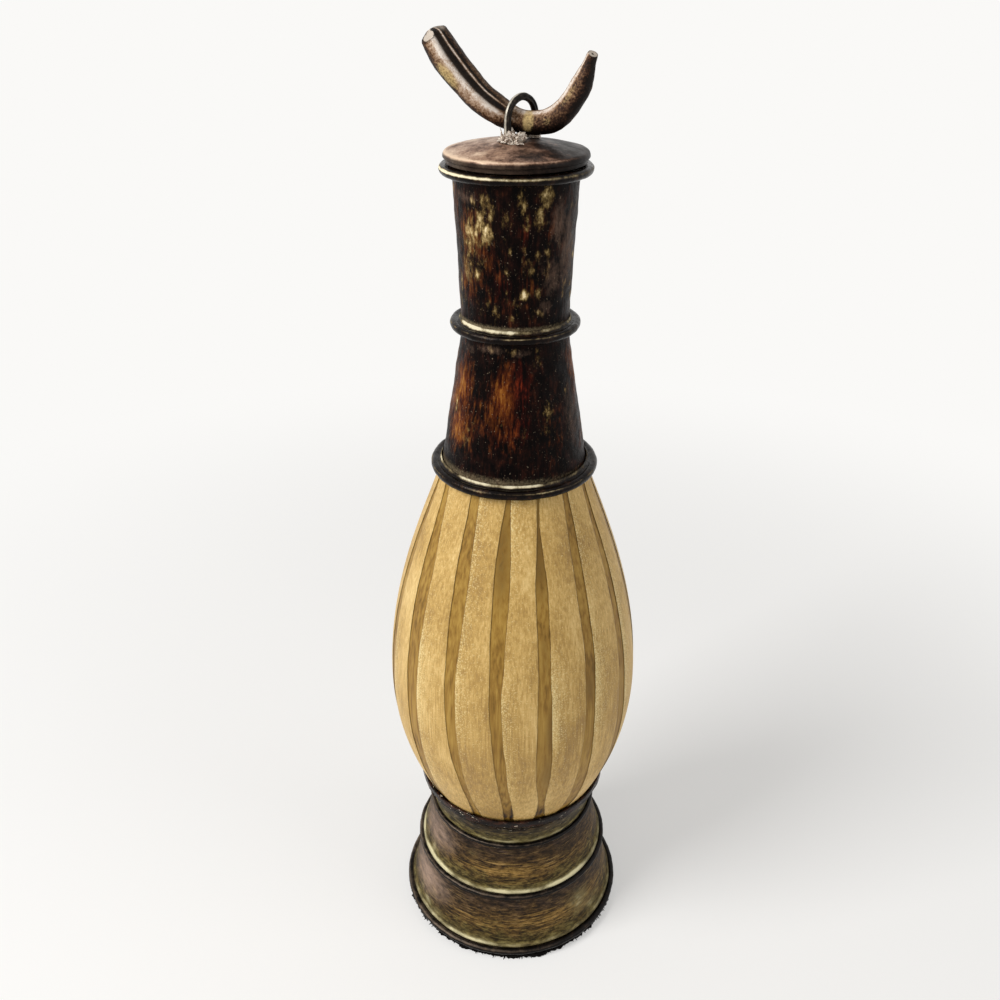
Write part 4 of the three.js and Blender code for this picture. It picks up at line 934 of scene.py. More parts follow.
# Pale specks: partly fine dust, partly painted glints of the gloss.
dust_cover = add(tree, "MapRange", {"Value": dust_and_glint_grains, "From Min": 0.66, "From Max": 0.75, "To Max": 0.5})
speckled = add(tree, "Mix", {0: dust_cover, 6: powdered, 7: linear("#BCA88C")}, data_type="RGBA")
gloss = add(tree, "MapRange", {
    "Value": dabs, "From Min": 0.35, "From Max": 0.65, "To Min": 0.28, "To Max": 0.5})
neck_relief = add(tree, "Math", {0: dabs, 1: 0.6, 2: streaks}, operation="MULTIPLY_ADD")
neck_bump = add(tree, "Bump", {"Height": neck_relief, "Strength": 0.5, "Distance": 0.0005})
feed(tree, surface, {
    "Base Color": speckled, "Roughness": gloss, "Normal": neck_bump, "Specular IOR Level": 0.04})


def neck_skin(piece, outside):
    """Lumps and runs that the brush left on the outside of a neck piece."""
    uneven(piece, depth=0.4, size=11, share=outside)
    uneven(piece, depth=0.22, size=4, share=outside)


neck_lower = turn("neck_lower", [
    (SPIGOT_RADIUS + GAP, LOWER_NECK_Z),
    *straight((NECK_FOOT_RADIUS, LOWER_NECK_Z), (NECK_JOINT_RADIUS, LOWER_NECK_TOP_Z), 70),
    (NECK_JOINT_RADIUS, LOWER_NECK_TOP_Z), (NECK_JOINT_BORE, LOWER_NECK_TOP_Z),
    (NECK_JOINT_BORE, LOWER_NECK_TOP_Z - SLEEVE_HALF - GAP),
    (NECK_BORE, LOWER_NECK_TOP_Z - SLEEVE_HALF - GAP),
    (SPIGOT_RADIUS - SPIGOT_WALL, SPIGOT_TOP_Z + GAP), (SPIGOT_RADIUS + GAP, SPIGOT_TOP_Z + GAP)], facets=200)
neck_skin(neck_lower, lambda p: (from_axis(p) > NECK_JOINT_RADIUS + 0.5)
          & (p[:, 2] > LOWER_NECK_Z + 4) & (p[:, 2] < LOWER_NECK_TOP_Z - 2))
paint(neck_lower, "amber", lambda p: spot_cover(p, [
    (-10, 318, 6, 14, 0.9), (-19, 309, 6, 12, 0.6), (-6, 305, 6, 12, 0.55),
    (-61, 318, 8, 14, 1), (-57, 301, 9, 10, 1), (35, 300, 8, 12, 0.25), (-40, 312, 8, 14, 0.35),
    *strewn(
        seed=3, count=12, low=292, high=330, widths=(5, 9), heights=(8, 16), strengths=(0.4, 0.9))]))
paint(neck_lower, "red", lambda p: spot_cover(p, [
    (2, 322, 6, 12, 1), (1, 306, 7, 12, 0.7), (-16, 300, 7, 8, 0.4), (150, 312, 12, 14, 0.6)]))
paint(neck_lower, "rubbed", lambda p: spot_cover(p, [
    (-25, 338, 3, 1.8, 0.45), (-2, 337.5, 3, 1.8, 0.5), (23, 337.5, 2.5, 1.6, 0.4), (30, 311, 3, 5, 0.5),
    (29, 303, 4, 5, 0.3), (-65, 310, 1, 7, 0.6), *strewn(
        seed=4, count=14, low=290, high=338, widths=(1.5, 3), heights=(2, 5), strengths=(0.3, 0.6)),
    *flecks(seed=8, count=24, low=296, high=336)]))
# Grey: dusty bloom under the middle bead, and a painted sheen on the right side.
paint(neck_lower, "bloom_and_sheen", lambda p: spot_cover(p, [
    (60, 305, 10, 26, 0.42), (-27, 338, 10, 3, 0.5), (-55, 336, 8, 4, 0.38), (5, 337, 8, 3, 0.42),
    (45, 292, 14, 8, 0.22)]))
paint(neck_lower, "powder", lambda p: near(p[:, 2], LOWER_NECK_Z + 2, 4.5)
      * (0.3 + 0.22 * np.cos(around(p) + 0.7)))
fit(neck_lower, lacquer, "neck_lacquer", "vessel", "lower_neck")

# Joining sleeve: a plain turned tube of bare beech, out of sight in the bore.
# It is glued inside both neck pieces where they meet, and holds them in line.

# Bare beech: tan brown and dull, with soft streaks about 1 mm wide that run up and down
bare_wood, tree, surface, place = start_material("bare_turned_beech")
pore_place = add(tree, "Mapping", {"Vector": place, "Scale": (0.8, 0.8, 0.08)})
pores = add(tree, "TexNoise", {"Vector": pore_place, "Scale": 1, "Detail": 5})
pore_colour = add(tree, "ValToRGB", {0: pores}, ramp=[
    (0.35, "#6B4C2E"), (0.55, "#8A6641"), (0.75, "#A07B52")])
pore_bump = add(tree, "Bump", {"Height": pores, "Strength": 0.3, "Distance": 0.0003})
feed(tree, surface, {"Base Color": pore_colour, "Normal": pore_bump, "Roughness": 0.65})
finish_solid("neck_joining_sleeve", bare_wood)

# Upper neck: a second bored piece that widens to the mouth, lacquered like the lower one.
# Here the lacquer is rubbed through in cream dabs, most of them near the mouth.
UPPER_NECK_Z = LOWER_NECK_TOP_Z + GAP
MOUTH_Z = UPPER_NECK_Z + 68.3
MOUTH_RADIUS = 26.2
MOUTH_BORE = 20.8
MOUTH_FLOOR_Z = MOUTH_Z - 38
neck_upper = turn("neck_upper", [
    (NECK_JOINT_BORE, UPPER_NECK_Z),
    *straight((NECK_JOINT_RADIUS, UPPER_NECK_Z), (MOUTH_RADIUS, MOUTH_Z), 72),
    (MOUTH_RADIUS, MOUTH_Z), (MOUTH_BORE + 0.4, MOUTH_Z), (MOUTH_BORE, MOUTH_Z - 0.4),
    (MOUTH_BORE, MOUTH_FLOOR_Z), (NECK_BORE, MOUTH_FLOOR_Z), (NECK_BORE, UPPER_NECK_Z + SLEEVE_HALF + GAP),
    (NECK_JOINT_BORE, UPPER_NECK_Z + SLEEVE_HALF + GAP)], facets=200)
neck_skin(neck_upper, lambda p: (from_axis(p) > NECK_JOINT_RADIUS - 0.2)
          & (p[:, 2] > UPPER_NECK_Z + 4) & (p[:, 2] < MOUTH_Z - 3))
paint(neck_upper, "amber", lambda p: spot_cover(p, [
    (-50, 384, 8, 11, 0.66), (-55, 369, 7, 14, 0.55), (-30, 374, 9, 14, 0.36), (12, 368, 8, 12, 0.24),
    (-20, 360, 8, 8, 0.25), (36, 385, 6, 12, 0.25), *strewn(
        seed=5, count=12, low=352, high=402, widths=(5, 9), heights=(8, 16), strengths=(0.3, 0.7))]))
paint(neck_upper, "red", lambda p: spot_cover(p, [
    (-16, 364, 9, 12, 0.45), (8, 388, 7, 14, 0.35), (170, 376, 14, 18, 0.5)]))
paint(neck_upper, "rubbed", lambda p: spot_cover(p, [
    (-35, 391, 2.6, 5.5, 0.8), (-28, 386, 3, 5, 0.78), (-24, 395, 2.2, 5.5, 0.62), (-29, 399, 4, 4, 0.5),
    (22, 394, 2.4, 6, 0.62), (27, 402, 3.4, 6, 0.6), (6, 398, 1.8, 4.5, 0.55), (-44, 399, 1.4, 2.6, 0.6),
    (-40, 369, 2, 3, 0.75), (7.5, 362, 2.2, 2.8, 0.8), (30, 379, 1.6, 3.4, 0.55), (20, 378, 1.4, 3, 0.5),
    (-6, 380, 1.4, 2.4, 0.5), (24, 354, 2.6, 3, 0.45), (-4, 352.5, 2, 2.4, 0.45), (8, 390, 2, 3, 0.4),
    (-68, 364, 1, 6, 0.7), (-46, 385, 7, 10, 0.6), (-38, 376, 6, 6, 0.36), (-53, 372, 5, 10, 0.48), *strewn(
        seed=6, count=30, low=350, high=405, widths=(1.4, 3), heights=(2.5, 6), strengths=(0.4, 0.85)),
    *flecks(seed=9, count=110, low=352, high=404)]))
# Grey: a painted sheen on the right side, and bloom on the left.
paint(neck_upper, "bloom_and_sheen", lambda p: spot_cover(p, [
    (58, 378, 9, 26, 0.52), (42, 390, 7, 14, 0.52), (38, 368, 7, 12, 0.48), (26, 374, 6, 10, 0.34),
    (-52, 400, 12, 5, 0.44), (-50, 352, 12, 6, 0.3), (30, 356, 8, 6, 0.4)]))
paint(neck_upper, "powder", lambda p: 0.75 * near(p[:, 2], UPPER_NECK_Z + 4.5, 2.2)
      * (0.55 + 0.45 * np.cos(around(p) + 0.7)))
fit(neck_upper, lacquer, "neck_lacquer", "vessel", "upper_neck")

# Three ferrules on the neck: blackened beads that cover the joints at shoulder, middle and mouth.
# Old polish has dried to a pale line in the hollow above the lower two. A pale line along the crown of each
# bead, strongest on the left on the third, is a painted highlight.
BEAD_TOP_DEG = 125
FERRULE_COVE = 3.4

# Blackened brass with dried polish: black-brown, brown on the crown of the bead, cream in the hollow,
# and a pale painted highlight along the crown
ferrule, tree, surface, place = start_material("blackened_brass_ferrule")
worn = add(tree, "TexNoise", {"Vector": place, "Scale": 0.3, "Detail": 6, "Roughness": 0.7})
worn_colour = add(tree, "ValToRGB", {0: worn}, ramp=[
    (0.4, "#080403"), (0.54, "#120A07"), (0.66, "#2E1C11"), (0.78, "#604630"), (0.9, "#9A7C54")])
polish_and_highlight = add(tree, "Attribute", attribute_name="polish_and_highlight").outputs["Fac"]
polish_and_highlight_cut = add(tree, "Math", {0: worn, 1: 1.2, 2: polish_and_highlight}, operation="MULTIPLY_ADD")
polish_and_highlight_cover = add(tree, "MapRange", {"Value": polish_and_highlight_cut, "From Min": 0.85, "From Max": 1.5})
polish_and_highlight_colour = add(tree, "ValToRGB", {0: polish_and_highlight_cover}, ramp=[
    (0.2, "#54442A"), (0.55, "#A8966E"), (0.9, "#EBDFBE")])
polished_and_highlighted = add(tree, "Mix", {0: polish_and_highlight_cover, 6: worn_colour, 7: polish_and_highlight_colour}, data_type="RGBA")
ferrule_sheen = add(tree, "MapRange", {"Value": polish_and_highlight_cover, "To Min": 0.26, "To Max": 0.85})
ferrule_metal = add(tree, "MapRange", {"Value": polish_and_highlight_cover, "From Max": 0.5, "To Min": 0.4, "To Max": 0})
ferrule_pits = add(tree, "TexNoise", {"Vector": place, "Scale": 1.1, "Detail": 3})
ferrule_bump = add(tree, "Bump", {"Height": ferrule_pits, "Strength": 0.4, "Distance": 0.0003})
feed(tree, surface, {
    "Base Color": polished_and_highlighted, "Roughness": ferrule_sheen, "Metallic": ferrule_metal,
    "Normal": ferrule_bump, "Specular IOR Level": 0.12})


def neck_ferrule(name, hub, bead_z, bead, reach, line, node):
    """A bead round the neck, a hollow above it where old polishing left a line of some width, and a painted
    crown highlight.
    """
    crown = arc(hub + reach, bead_z, bead, -90, BEAD_TOP_DEG, 22)
    shoulder = crown[-1]
    curve = cove(shoulder, (hub + reach / 4, shoulder[1]), (hub, bead_z + FERRULE_COVE), 10)
    piece = turn(name, [(hub, bead_z - bead), *crown, *curve[1:]], facets=240)
    for depth, size in ((0.2, 6), (0.1, 1.8)):
        uneven(piece, depth, size, lambda p: from_axis(p) > hub + 0.6)
    # The pale line in the hollow is dried polish; the line on the bead's crown is a painted highlight.
    paint(piece, "polish_and_highlight", lambda p: near(from_axis(p), hub + line / 2, line) * (p[:, 2] > bead_z + 0.4)
          * (0.74 + 0.24 * np.cos(around(p) + 0.8)) * patchy(p, hub) + (from_axis(p) > hub + reach)
          * 0.62 * near(p[:, 2], bead_z + 0.55 * bead, 0.16 * bead) * patchy(p, bead_z))
    fit(piece, ferrule, "blackened_metal", "vessel", node)


SHOULDER_BEAD = 2.2
MIDDLE_BEAD = 1.95
neck_ferrule("shoulder_bead", hub=33.8, bead_z=STRIP_TOP_Z + GAP + SHOULDER_BEAD, bead=SHOULDER_BEAD,
             reach=2.7, line=0.5, node="shoulder_ring")
neck_ferrule("middle_bead", hub=23.9, bead_z=LOWER_NECK_TOP_Z + GAP / 2 + MIDDLE_BEAD, bead=MIDDLE_BEAD,
             reach=2.6, line=0.52, node="mid_ring")
LIP_HUB = MOUTH_RADIUS + GAP
LIP_BEAD = 1.9
LIP_REACH = 3.2
mouth_bead = turn("mouth_bead", [
    (LIP_HUB, MOUTH_Z - 2 * LIP_BEAD),
    *arc(LIP_HUB + LIP_REACH, MOUTH_Z - LIP_BEAD, LIP_BEAD, -90, 90, 20), (LIP_HUB, MOUTH_Z)], facets=240)
for depth, size in ((0.16, 6), (0.08, 1.8)):
    uneven(mouth_bead, depth, size, lambda p: from_axis(p) > LIP_HUB + LIP_REACH)
# A painted highlight along the bead's crown, strongest on the left and weakest on the right.
paint(mouth_bead, "polish_and_highlight", lambda p: near(p[:, 2], MOUTH_Z - 1.1, 0.65)
      * (0.64 + 0.5 * near(np.degrees(around(p)), -60, 45) - 0.2 * near(np.degrees(around(p)), 70, 40)))
fit(mouth_bead, ferrule, "blackened_metal", "vessel", "lip_ring")

# Stopper: a turned wooden plug glued under the lid, with a sleeve of cork that grips the mouth.
# Both are out of sight until the lid is lifted.
LID_Z = MOUTH_Z + GAP
PLUG_TOP_Z = LID_Z - GAP
PLUG_END_Z = PLUG_TOP_Z - 32
PLUG_STEP_Z = PLUG_TOP_Z - 6
PLUG_HEAD_RADIUS = MOUTH_BORE - 2 * GAP
CORK_RADIUS = MOUTH_BORE - GAP
PLUG_RADIUS = CORK_RADIUS - 1.6 - GAP
CORK_TOP_Z = PLUG_STEP_Z - GAP
CORK_END_Z = CORK_TOP_Z - 20
stopper = turn("stopper_wood", [
    (0, PLUG_END_Z), (PLUG_RADIUS - 2, PLUG_END_Z), *arc(PLUG_RADIUS - 2, PLUG_END_Z + 2, 2, -90, 0, 6),
    *straight((PLUG_RADIUS, PLUG_END_Z + 4), (PLUG_RADIUS, PLUG_STEP_Z), 6), (PLUG_RADIUS, PLUG_STEP_Z),
    (PLUG_HEAD_RADIUS - 0.4, PLUG_STEP_Z), (PLUG_HEAD_RADIUS, PLUG_STEP_Z + 0.4),
    (PLUG_HEAD_RADIUS, PLUG_TOP_Z), (0, PLUG_TOP_Z)], facets=120)
fit(stopper, bare_wood, "bare_wood", "lid", "stopper_plug")

# Natural cork: tan with brown pits about 1.5 mm across
cork, tree, surface, place = start_material("natural_cork")
cells = add(tree, "TexVoronoi", {"Vector": place, "Scale": 0.55, "Randomness": 1})
cork_cloud = add(tree, "TexNoise", {"Vector": place, "Scale": 0.35, "Detail": 6, "Roughness": 0.7})
cork_tone = add(tree, "Math", {0: cells, 1: 0.4, 2: cork_cloud}, operation="MULTIPLY_ADD")
cork_colour = add(tree, "ValToRGB", {0: cork_tone}, ramp=[
    (0.4, "#5E3F22"), (0.52, "#96703F"), (0.7, "#B98F5A"), (0.9, "#CBA874")])
cork_bump = add(tree, "Bump", {"Height": cork_tone, "Strength": 0.6, "Distance": 0.0006})
feed(tree, surface, {"Base Color": cork_colour, "Normal": cork_bump, "Roughness": 0.85})
cork_sleeve = turn("cork_sleeve", [
    (PLUG_RADIUS + GAP, CORK_END_Z), (CORK_RADIUS - 0.5, CORK_END_Z), (CORK_RADIUS, CORK_END_Z + 0.5),
    *straight((CORK_RADIUS, CORK_END_Z + 1), (CORK_RADIUS, CORK_TOP_Z - 0.5), 18),
    (CORK_RADIUS, CORK_TOP_Z - 0.5), (CORK_RADIUS - 0.5, CORK_TOP_Z),
    (PLUG_RADIUS + GAP, CORK_TOP_Z)], facets=120)
uneven(cork_sleeve, depth=0.14, size=2.2, share=lambda p: from_axis(p) > CORK_RADIUS - 0.2)
fit(cork_sleeve, cork, "cork", "lid", "stopper_cork")

# Lid: a shallow turned dome with a rounded shoulder over an undercut edge, rubbed with copper wax.
# The wax is brightest along the shoulder, where a highlight is painted, and dark spots show through it;
# light is painted on the left and shade on the right.
LID_RADIUS = 29.9
LID_UNDERCUT = 1.1
LID_EDGE_Z = LID_Z + 2.5
LID_TOP_Z = LID_EDGE_Z + 6.2
LID_SHOULDER_RADIUS = LID_RADIUS - 1.15
LID_SHOULDER_Z = LID_EDGE_Z + 2.3
DOME_STEPS = 40


def dome_height(radius):
    """Height of the lid's top at a distance from its middle."""
    return LID_TOP_Z - (LID_TOP_Z - LID_SHOULDER_Z) * (radius / LID_SHOULDER_RADIUS) ** 2


# Copper wax over dark stained wood: pinkish brown with a satin sheen, dark blots some 6 mm across,
# ochre dust, a painted highlight along the shoulder, painted light on the left and painted shade on the right
coppered, tree, surface, place = start_material("copper_waxed_wood")
blotches = add(tree, "TexNoise", {"Vector": place, "Scale": 0.14, "Detail": 6, "Roughness": 0.65})
wax_grit = add(tree, "TexNoise", {"Vector": place, "Scale": 1.0, "Detail": 4, "Roughness": 0.7})
blot_part = add(tree, "Math", {0: blotches, 1: 0.85}, operation="MULTIPLY")
wax_tone = add(tree, "Math", {0: wax_grit, 1: 0.35, 2: blot_part}, operation="MULTIPLY_ADD")
# Painted light and shade: a highlight along the shoulder, lighter on the left and darker on the right.
painted_light_and_shade = add(tree, "Attribute", attribute_name="painted_light_and_shade").outputs["Fac"]
wax_and_painted_light = add(tree, "Math", {0: painted_light_and_shade, 1: 0.22, 2: wax_tone}, operation="MULTIPLY_ADD")
wax_colour = add(tree, "ValToRGB", {0: wax_and_painted_light}, ramp=[
    (0.45, "#1A100B"), (0.55, "#483328"), (0.64, "#7D6150"), (0.74, "#AA8972"), (0.9, "#DCC0A4")])
# Painted shade, near black, on the undercut edge under the shoulder.
shade = add(tree, "Attribute", attribute_name="undercut_shade").outputs["Fac"]
waxed = add(tree, "Mix", {0: shade, 6: wax_colour, 7: linear("#0D0806")}, data_type="RGBA")
wax_sheen = add(tree, "MapRange", {
    "Value": wax_tone, "From Min": 0.35, "From Max": 0.65, "To Min": 0.55, "To Max": 0.34})
wax_bump = add(tree, "Bump", {"Height": wax_tone, "Strength": 0.4, "Distance": 0.0003})
feed(tree, surface, {
    "Base Color": waxed, "Roughness": wax_sheen, "Normal": wax_bump, "Metallic": 0.15,
    "Specular IOR Level": 0.08})
dome_radii = [LID_SHOULDER_RADIUS * (1 - step / DOME_STEPS) for step in range(1, DOME_STEPS + 1)]
lid_cap = turn("lid_cap", [
    (0, LID_Z), (LID_RADIUS - LID_UNDERCUT - 1, LID_Z), (LID_RADIUS - LID_UNDERCUT, LID_Z + 0.4),
    (LID_RADIUS - LID_UNDERCUT, LID_EDGE_Z - 0.6), (LID_RADIUS - 0.3, LID_EDGE_Z - 0.4),
    *cove((LID_RADIUS, LID_EDGE_Z), (LID_RADIUS, LID_SHOULDER_Z - 0.6),
          (LID_SHOULDER_RADIUS, LID_SHOULDER_Z), 10),
    *[(radius, dome_height(radius)) for radius in dome_radii]], facets=240)
for depth, size in ((0.2, 12), (0.07, 3)):
    uneven(lid_cap, depth, size, lambda p: np.clip((p[:, 2] - LID_EDGE_Z) / 2, 0, 1))
# Rubbed spots, and dark blots that are partly painted shade on the right: degrees, height, half width, half
# height, strength.
WAX_RUBBED = [(-55, 416, 14, 6, 1), (-120, 416, 14, 6, 0.8)]
WAX_BLOTS_AND_SHADE = [(55, 416, 13, 6, 1), (20, 415, 8, 3, 0.9), (80, 416, 20, 6, 1), (150, 416, 12, 6, 0.9)]
# Painted highlight along the shoulder, painted light on the left and painted shade on the right.
paint(lid_cap, "painted_light_and_shade", lambda p: 1.1 * near(p[:, 2], LID_EDGE_Z + 1.95, 0.35)
      * (0.55 + 0.45 * np.cos(around(p) + 0.9)) - 0.02 * p[:, 0] - 0.012 * np.maximum(p[:, 0], 0) + 0.22
      + 0.1 * spot_cover(p, WAX_RUBBED) - 0.5 * spot_cover(p, WAX_BLOTS_AND_SHADE))
# Painted shade on the undercut edge under the shoulder.
paint(lid_cap, "undercut_shade", lambda p: (p[:, 2] > LID_Z + 0.2) * (from_axis(p) > LID_SHOULDER_RADIUS)
      * np.clip((LID_EDGE_Z + 1.75 - p[:, 2]) / 0.9, 0, 0.88))
fit(lid_cap, coppered, "coppered_lid", "lid", "lid_dome")

# Loop: a stout wire bent to an arch over the horn, its legs glued down into the stopper.
# It is two thin rods drawn side by side, so a groove runs along the middle of the wire, darkened with
# painted shade; a pale painted highlight runs along the wire's outer edge.
LOOP_X = 2
LOOP_TURN_DEG = 47
LOOP_RADIUS = 8.18
LOOP_Z = LID_TOP_Z + 7.7
LOOP_WIRE = 1.45
LEG_END_Z = PLUG_TOP_Z - 8
SEAM_DEPTH_SHARE = 0.3
SEAM_WIDTH_DEG = 26
LOOP_FACETS = 28
LEG_STEPS = 12
ARCH_STEPS = 48
OUTER_EDGE_DEG = 270
OUTER_EDGE_SPREAD = 24
loop_across = Vector((math.cos(math.radians(LOOP_TURN_DEG)), math.sin(math.radians(LOOP_TURN_DEG)), 0))
loop_face = Vector((loop_across.y, -loop_across.x, 0))

# Drawn iron wire, waxed dark: black painted shade in the seam, and a pale grey-gold painted highlight along
# the outer edge
loop_iron, tree, surface, place = start_material("waxed_drawn_iron")
loop_wear = add(tree, "TexNoise", {"Vector": place, "Scale": 0.5, "Detail": 5, "Roughness": 0.65})
loop_colour = add(tree, "ValToRGB", {0: loop_wear}, ramp=[
    (0.35, "#0C0806"), (0.5, "#1A1410"), (0.63, "#3A3128"), (0.78, "#84765F")])
# Painted shade, near black, in the seam between the two rods.
seam_shade = add(tree, "Attribute", attribute_name="seam_shade").outputs["Fac"]
seam_shaded = add(tree, "Mix", {0: seam_shade, 6: loop_colour, 7: linear("#0A0706")}, data_type="RGBA")
# Painted highlight, pale grey-gold, along the outer edge of the wire.
edge_highlight = add(tree, "Attribute", attribute_name="outer_edge_highlight").outputs["Fac"]
edge_highlight_cut = add(tree, "Math", {0: edge_highlight, 1: loop_wear}, operation="MULTIPLY")
edge_highlight_cover = add(tree, "MapRange", {"Value": edge_highlight_cut, "From Min": 0.15, "From Max": 0.5})
highlighted_wire = add(tree, "Mix", {0: edge_highlight_cover, 6: seam_shaded, 7: linear("#C4BCAC")}, data_type="RGBA")
loop_sheen = add(tree, "MapRange", {
    "Value": loop_wear, "From Min": 0.3, "From Max": 0.7, "To Min": 0.3, "To Max": 0.5})
loop_bump = add(tree, "Bump", {"Height": loop_wear, "Strength": 0.3, "Distance": 0.0003})
feed(tree, surface, {
    "Base Color": highlighted_wire, "Roughness": loop_sheen, "Normal": loop_bump, "Metallic": 0.4,
    "Specular IOR Level": 0.2})
loop_line = straight((-LOOP_RADIUS, LEG_END_Z), (-LOOP_RADIUS, LOOP_Z), LEG_STEPS)
loop_line += arc(0, LOOP_Z, LOOP_RADIUS, 180, 0, ARCH_STEPS)
loop_line += straight((LOOP_RADIUS, LOOP_Z), (LOOP_RADIUS, LEG_END_Z), LEG_STEPS)[1:]
loop_line.append((LOOP_RADIUS, LEG_END_Z))
loop_turns = [math.tau * facet / LOOP_FACETS for facet in range(LOOP_FACETS)]
seam_shares = [max(math.exp(-(math.degrees(math.remainder(turning - side, math.tau)) / SEAM_WIDTH_DEG) ** 2)
                   for side in (0, math.pi)) for turning in loop_turns]
rings = []
for index, (across, height) in enumerate(loop_line):
    before, after = loop_line[max(index - 1, 0)], loop_line[min(index + 1, len(loop_line) - 1)]
    along = (loop_across * (after[0] - before[0]) + Vector((0, 0, after[1] - before[1]))).normalized()
    outward = along.cross(loop_face)
    middle = Vector((LOOP_X, 0, height)) + loop_across * across
    rings.append([tuple(middle + (loop_face * math.cos(turning) + outward * math.sin(turning))
                        * LOOP_WIRE * (1 - SEAM_DEPTH_SHARE * share))
                  for turning, share in zip(loop_turns, seam_shares)])
loop_wire, ring, facet = loft("lid_loop_wire", rings)
uneven(loop_wire, depth=0.12, size=3)
# Painted shade in the seam, and a painted highlight along the outer edge.
mark(loop_wire, "seam_shade", np.array(seam_shares)[facet] ** 2)
turned_deg = np.degrees(np.array(loop_turns))[facet]
mark(loop_wire, "outer_edge_highlight", near(turned_deg, OUTER_EDGE_DEG, OUTER_EDGE_SPREAD))
fit(loop_wire, loop_iron, "dark_wire", "lid", "lid_loop")

# Solder lumps: silvery solder dropped round both feet of the loop and left ragged.
# It ran out over the lid in shreds, and thin wisps of it stand up where the iron was pulled away.
SOLDER_RADIUS = 5
SOLDER_HEIGHT = 4.4
HORN_YAW_DEG = -8
HORN_AXIS_Z = LID_TOP_Z + 7.3
HORN_SPACE = 5.75
LUMP_RISE = 0.3
SOLDER_DRIFT = 1.6
WISP_STEPS = 8
WISP_FACETS = 7
WISP_FOOT = 1.2
WISP_LEAN = 1.1
WISP_WOBBLE = 0.12
WISP_END = 0.06
horn_along = Vector((math.cos(math.radians(HORN_YAW_DEG)), math.sin(math.radians(HORN_YAW_DEG)), 0))

# Raw solder: cream-white and crusty with brown flux burnt into its hollows about 1 mm across
solder, tree, surface, place = start_material("raw_tin_solder")
crust = add(tree, "TexNoise", {"Vector": place, "Scale": 0.8, "Detail": 5, "Roughness": 0.7})
solder_colour = add(tree, "ValToRGB", {0: crust}, ramp=[
    (0.36, "#4E3B2A"), (0.45, "#A39080"), (0.54, "#D9CDBE"), (0.68, "#F4EEE4")])
solder_sheen = add(tree, "MapRange", {
    "Value": crust, "From Min": 0.3, "From Max": 0.7, "To Min": 0.6, "To Max": 0.35})
solder_bump = add(tree, "Bump", {"Height": crust, "Strength": 0.8, "Distance": 0.0005})
feed(tree, surface, {
    "Base Color": solder_colour, "Roughness": solder_sheen, "Normal": solder_bump, "Metallic": 0.2})


def clear_of_horn(point):
    """Moves a point in mm out of the space that the horn sweeps as it rolls."""
    off = point - Vector((LOOP_X, 0, HORN_AXIS_Z))
    side = off - horn_along * off.dot(horn_along)
    if side.length < HORN_SPACE:
        point = point + side * (HORN_SPACE / max(side.length, 0.01) - 1)
    return point


def solder_lump(name, side, size, wisps, node):
    """A ragged lump round one foot of the loop, with wisps that stand up from it.

    A wisp has degrees from the front, its distance from the foot, its length and its thickness.
    """
    foot = Vector((LOOP_X, 0, 0)) + loop_across * (side * LOOP_RADIUS)
    foot.z = dome_height(LOOP_RADIUS)
    draw = random.Random(17 + side)
    parts = []
    for degrees, reach, length, thick in wisps:
        lean = Vector((math.sin(math.radians(degrees)), -math.cos(math.radians(degrees)), 0))
        rings = []
        for step in range(WISP_STEPS + 1):
            share = step / WISP_STEPS
            middle = foot + lean * (reach + WISP_LEAN * share * share)
            middle += Vector((0, 0, WISP_FOOT + length * share))
            middle += Vector((draw.uniform(-1, 1), draw.uniform(-1, 1), 0)) * WISP_WOBBLE
            thin = thick * (1 - share) + WISP_END
            turns = [math.tau * k / WISP_FACETS for k in range(WISP_FACETS)]
            rings.append([tuple(clear_of_horn(middle + Vector((thin * math.cos(a), thin * math.sin(a), 0))))
                          for a in turns])
        parts.append(loft(name + "_wisp", rings)[0])
    bpy.ops.object.select_all(action="DESELECT")
    bpy.ops.mesh.primitive_ico_sphere_add(subdivisions=5, radius=1)
    lump = bpy.context.object
    lump.name = name
    for point in lump.data.vertices:
        way = point.co.normalized()
        ragged = 0.8 + 0.7 * noise.noise(way * 1.7 + Vector((side * 4, 0, 0)))
        ragged += 0.5 * abs(noise.noise(way * 3.6 + Vector((0, side * 3, 0)))) + 0.14 * noise.noise(way * 9)
        spread = Vector((way.x * SOLDER_RADIUS, way.y * SOLDER_RADIUS, way.z * SOLDER_HEIGHT)) * size
        place_mm = clear_of_horn(foot - Vector((side * SOLDER_DRIFT, 0, 0)) + spread * ragged)
        place_mm.z = max(place_mm.z, dome_height(math.hypot(place_mm.x, place_mm.y)) + LUMP_RISE)
        point.co = place_mm * MM
    bpy.ops.object.shade_smooth_by_angle(angle=math.radians(LOFT_SMOOTH_DEG))
    join(lump, parts)
    fit(lump, solder, "solder", "lid", node)


solder_lump("front_solder_lump", side=-1, size=1, wisps=[
    (-70, 2.2, 4.4, 0.7), (-30, 2.0, 3.2, 0.8), (20, 3.0, 3.6, 0.8), (60, 4.6, 3.4, 0.8),
    (72, 6.4, 2.2, 0.7)], node="front_solder")
solder_lump("rear_solder_lump", side=1, size=0.65, wisps=[
    (110, 2, 2.6, 0.5), (170, 2, 2.6, 0.5), (60, 2.4, 1.8, 0.5)], node="rear_solder")

# Horn: the handle, a bent tapering horn threaded through the loop, where it can roll.
# Two creases run along the inside of its thick arm, the butt is worn pale and the tip is cut off.

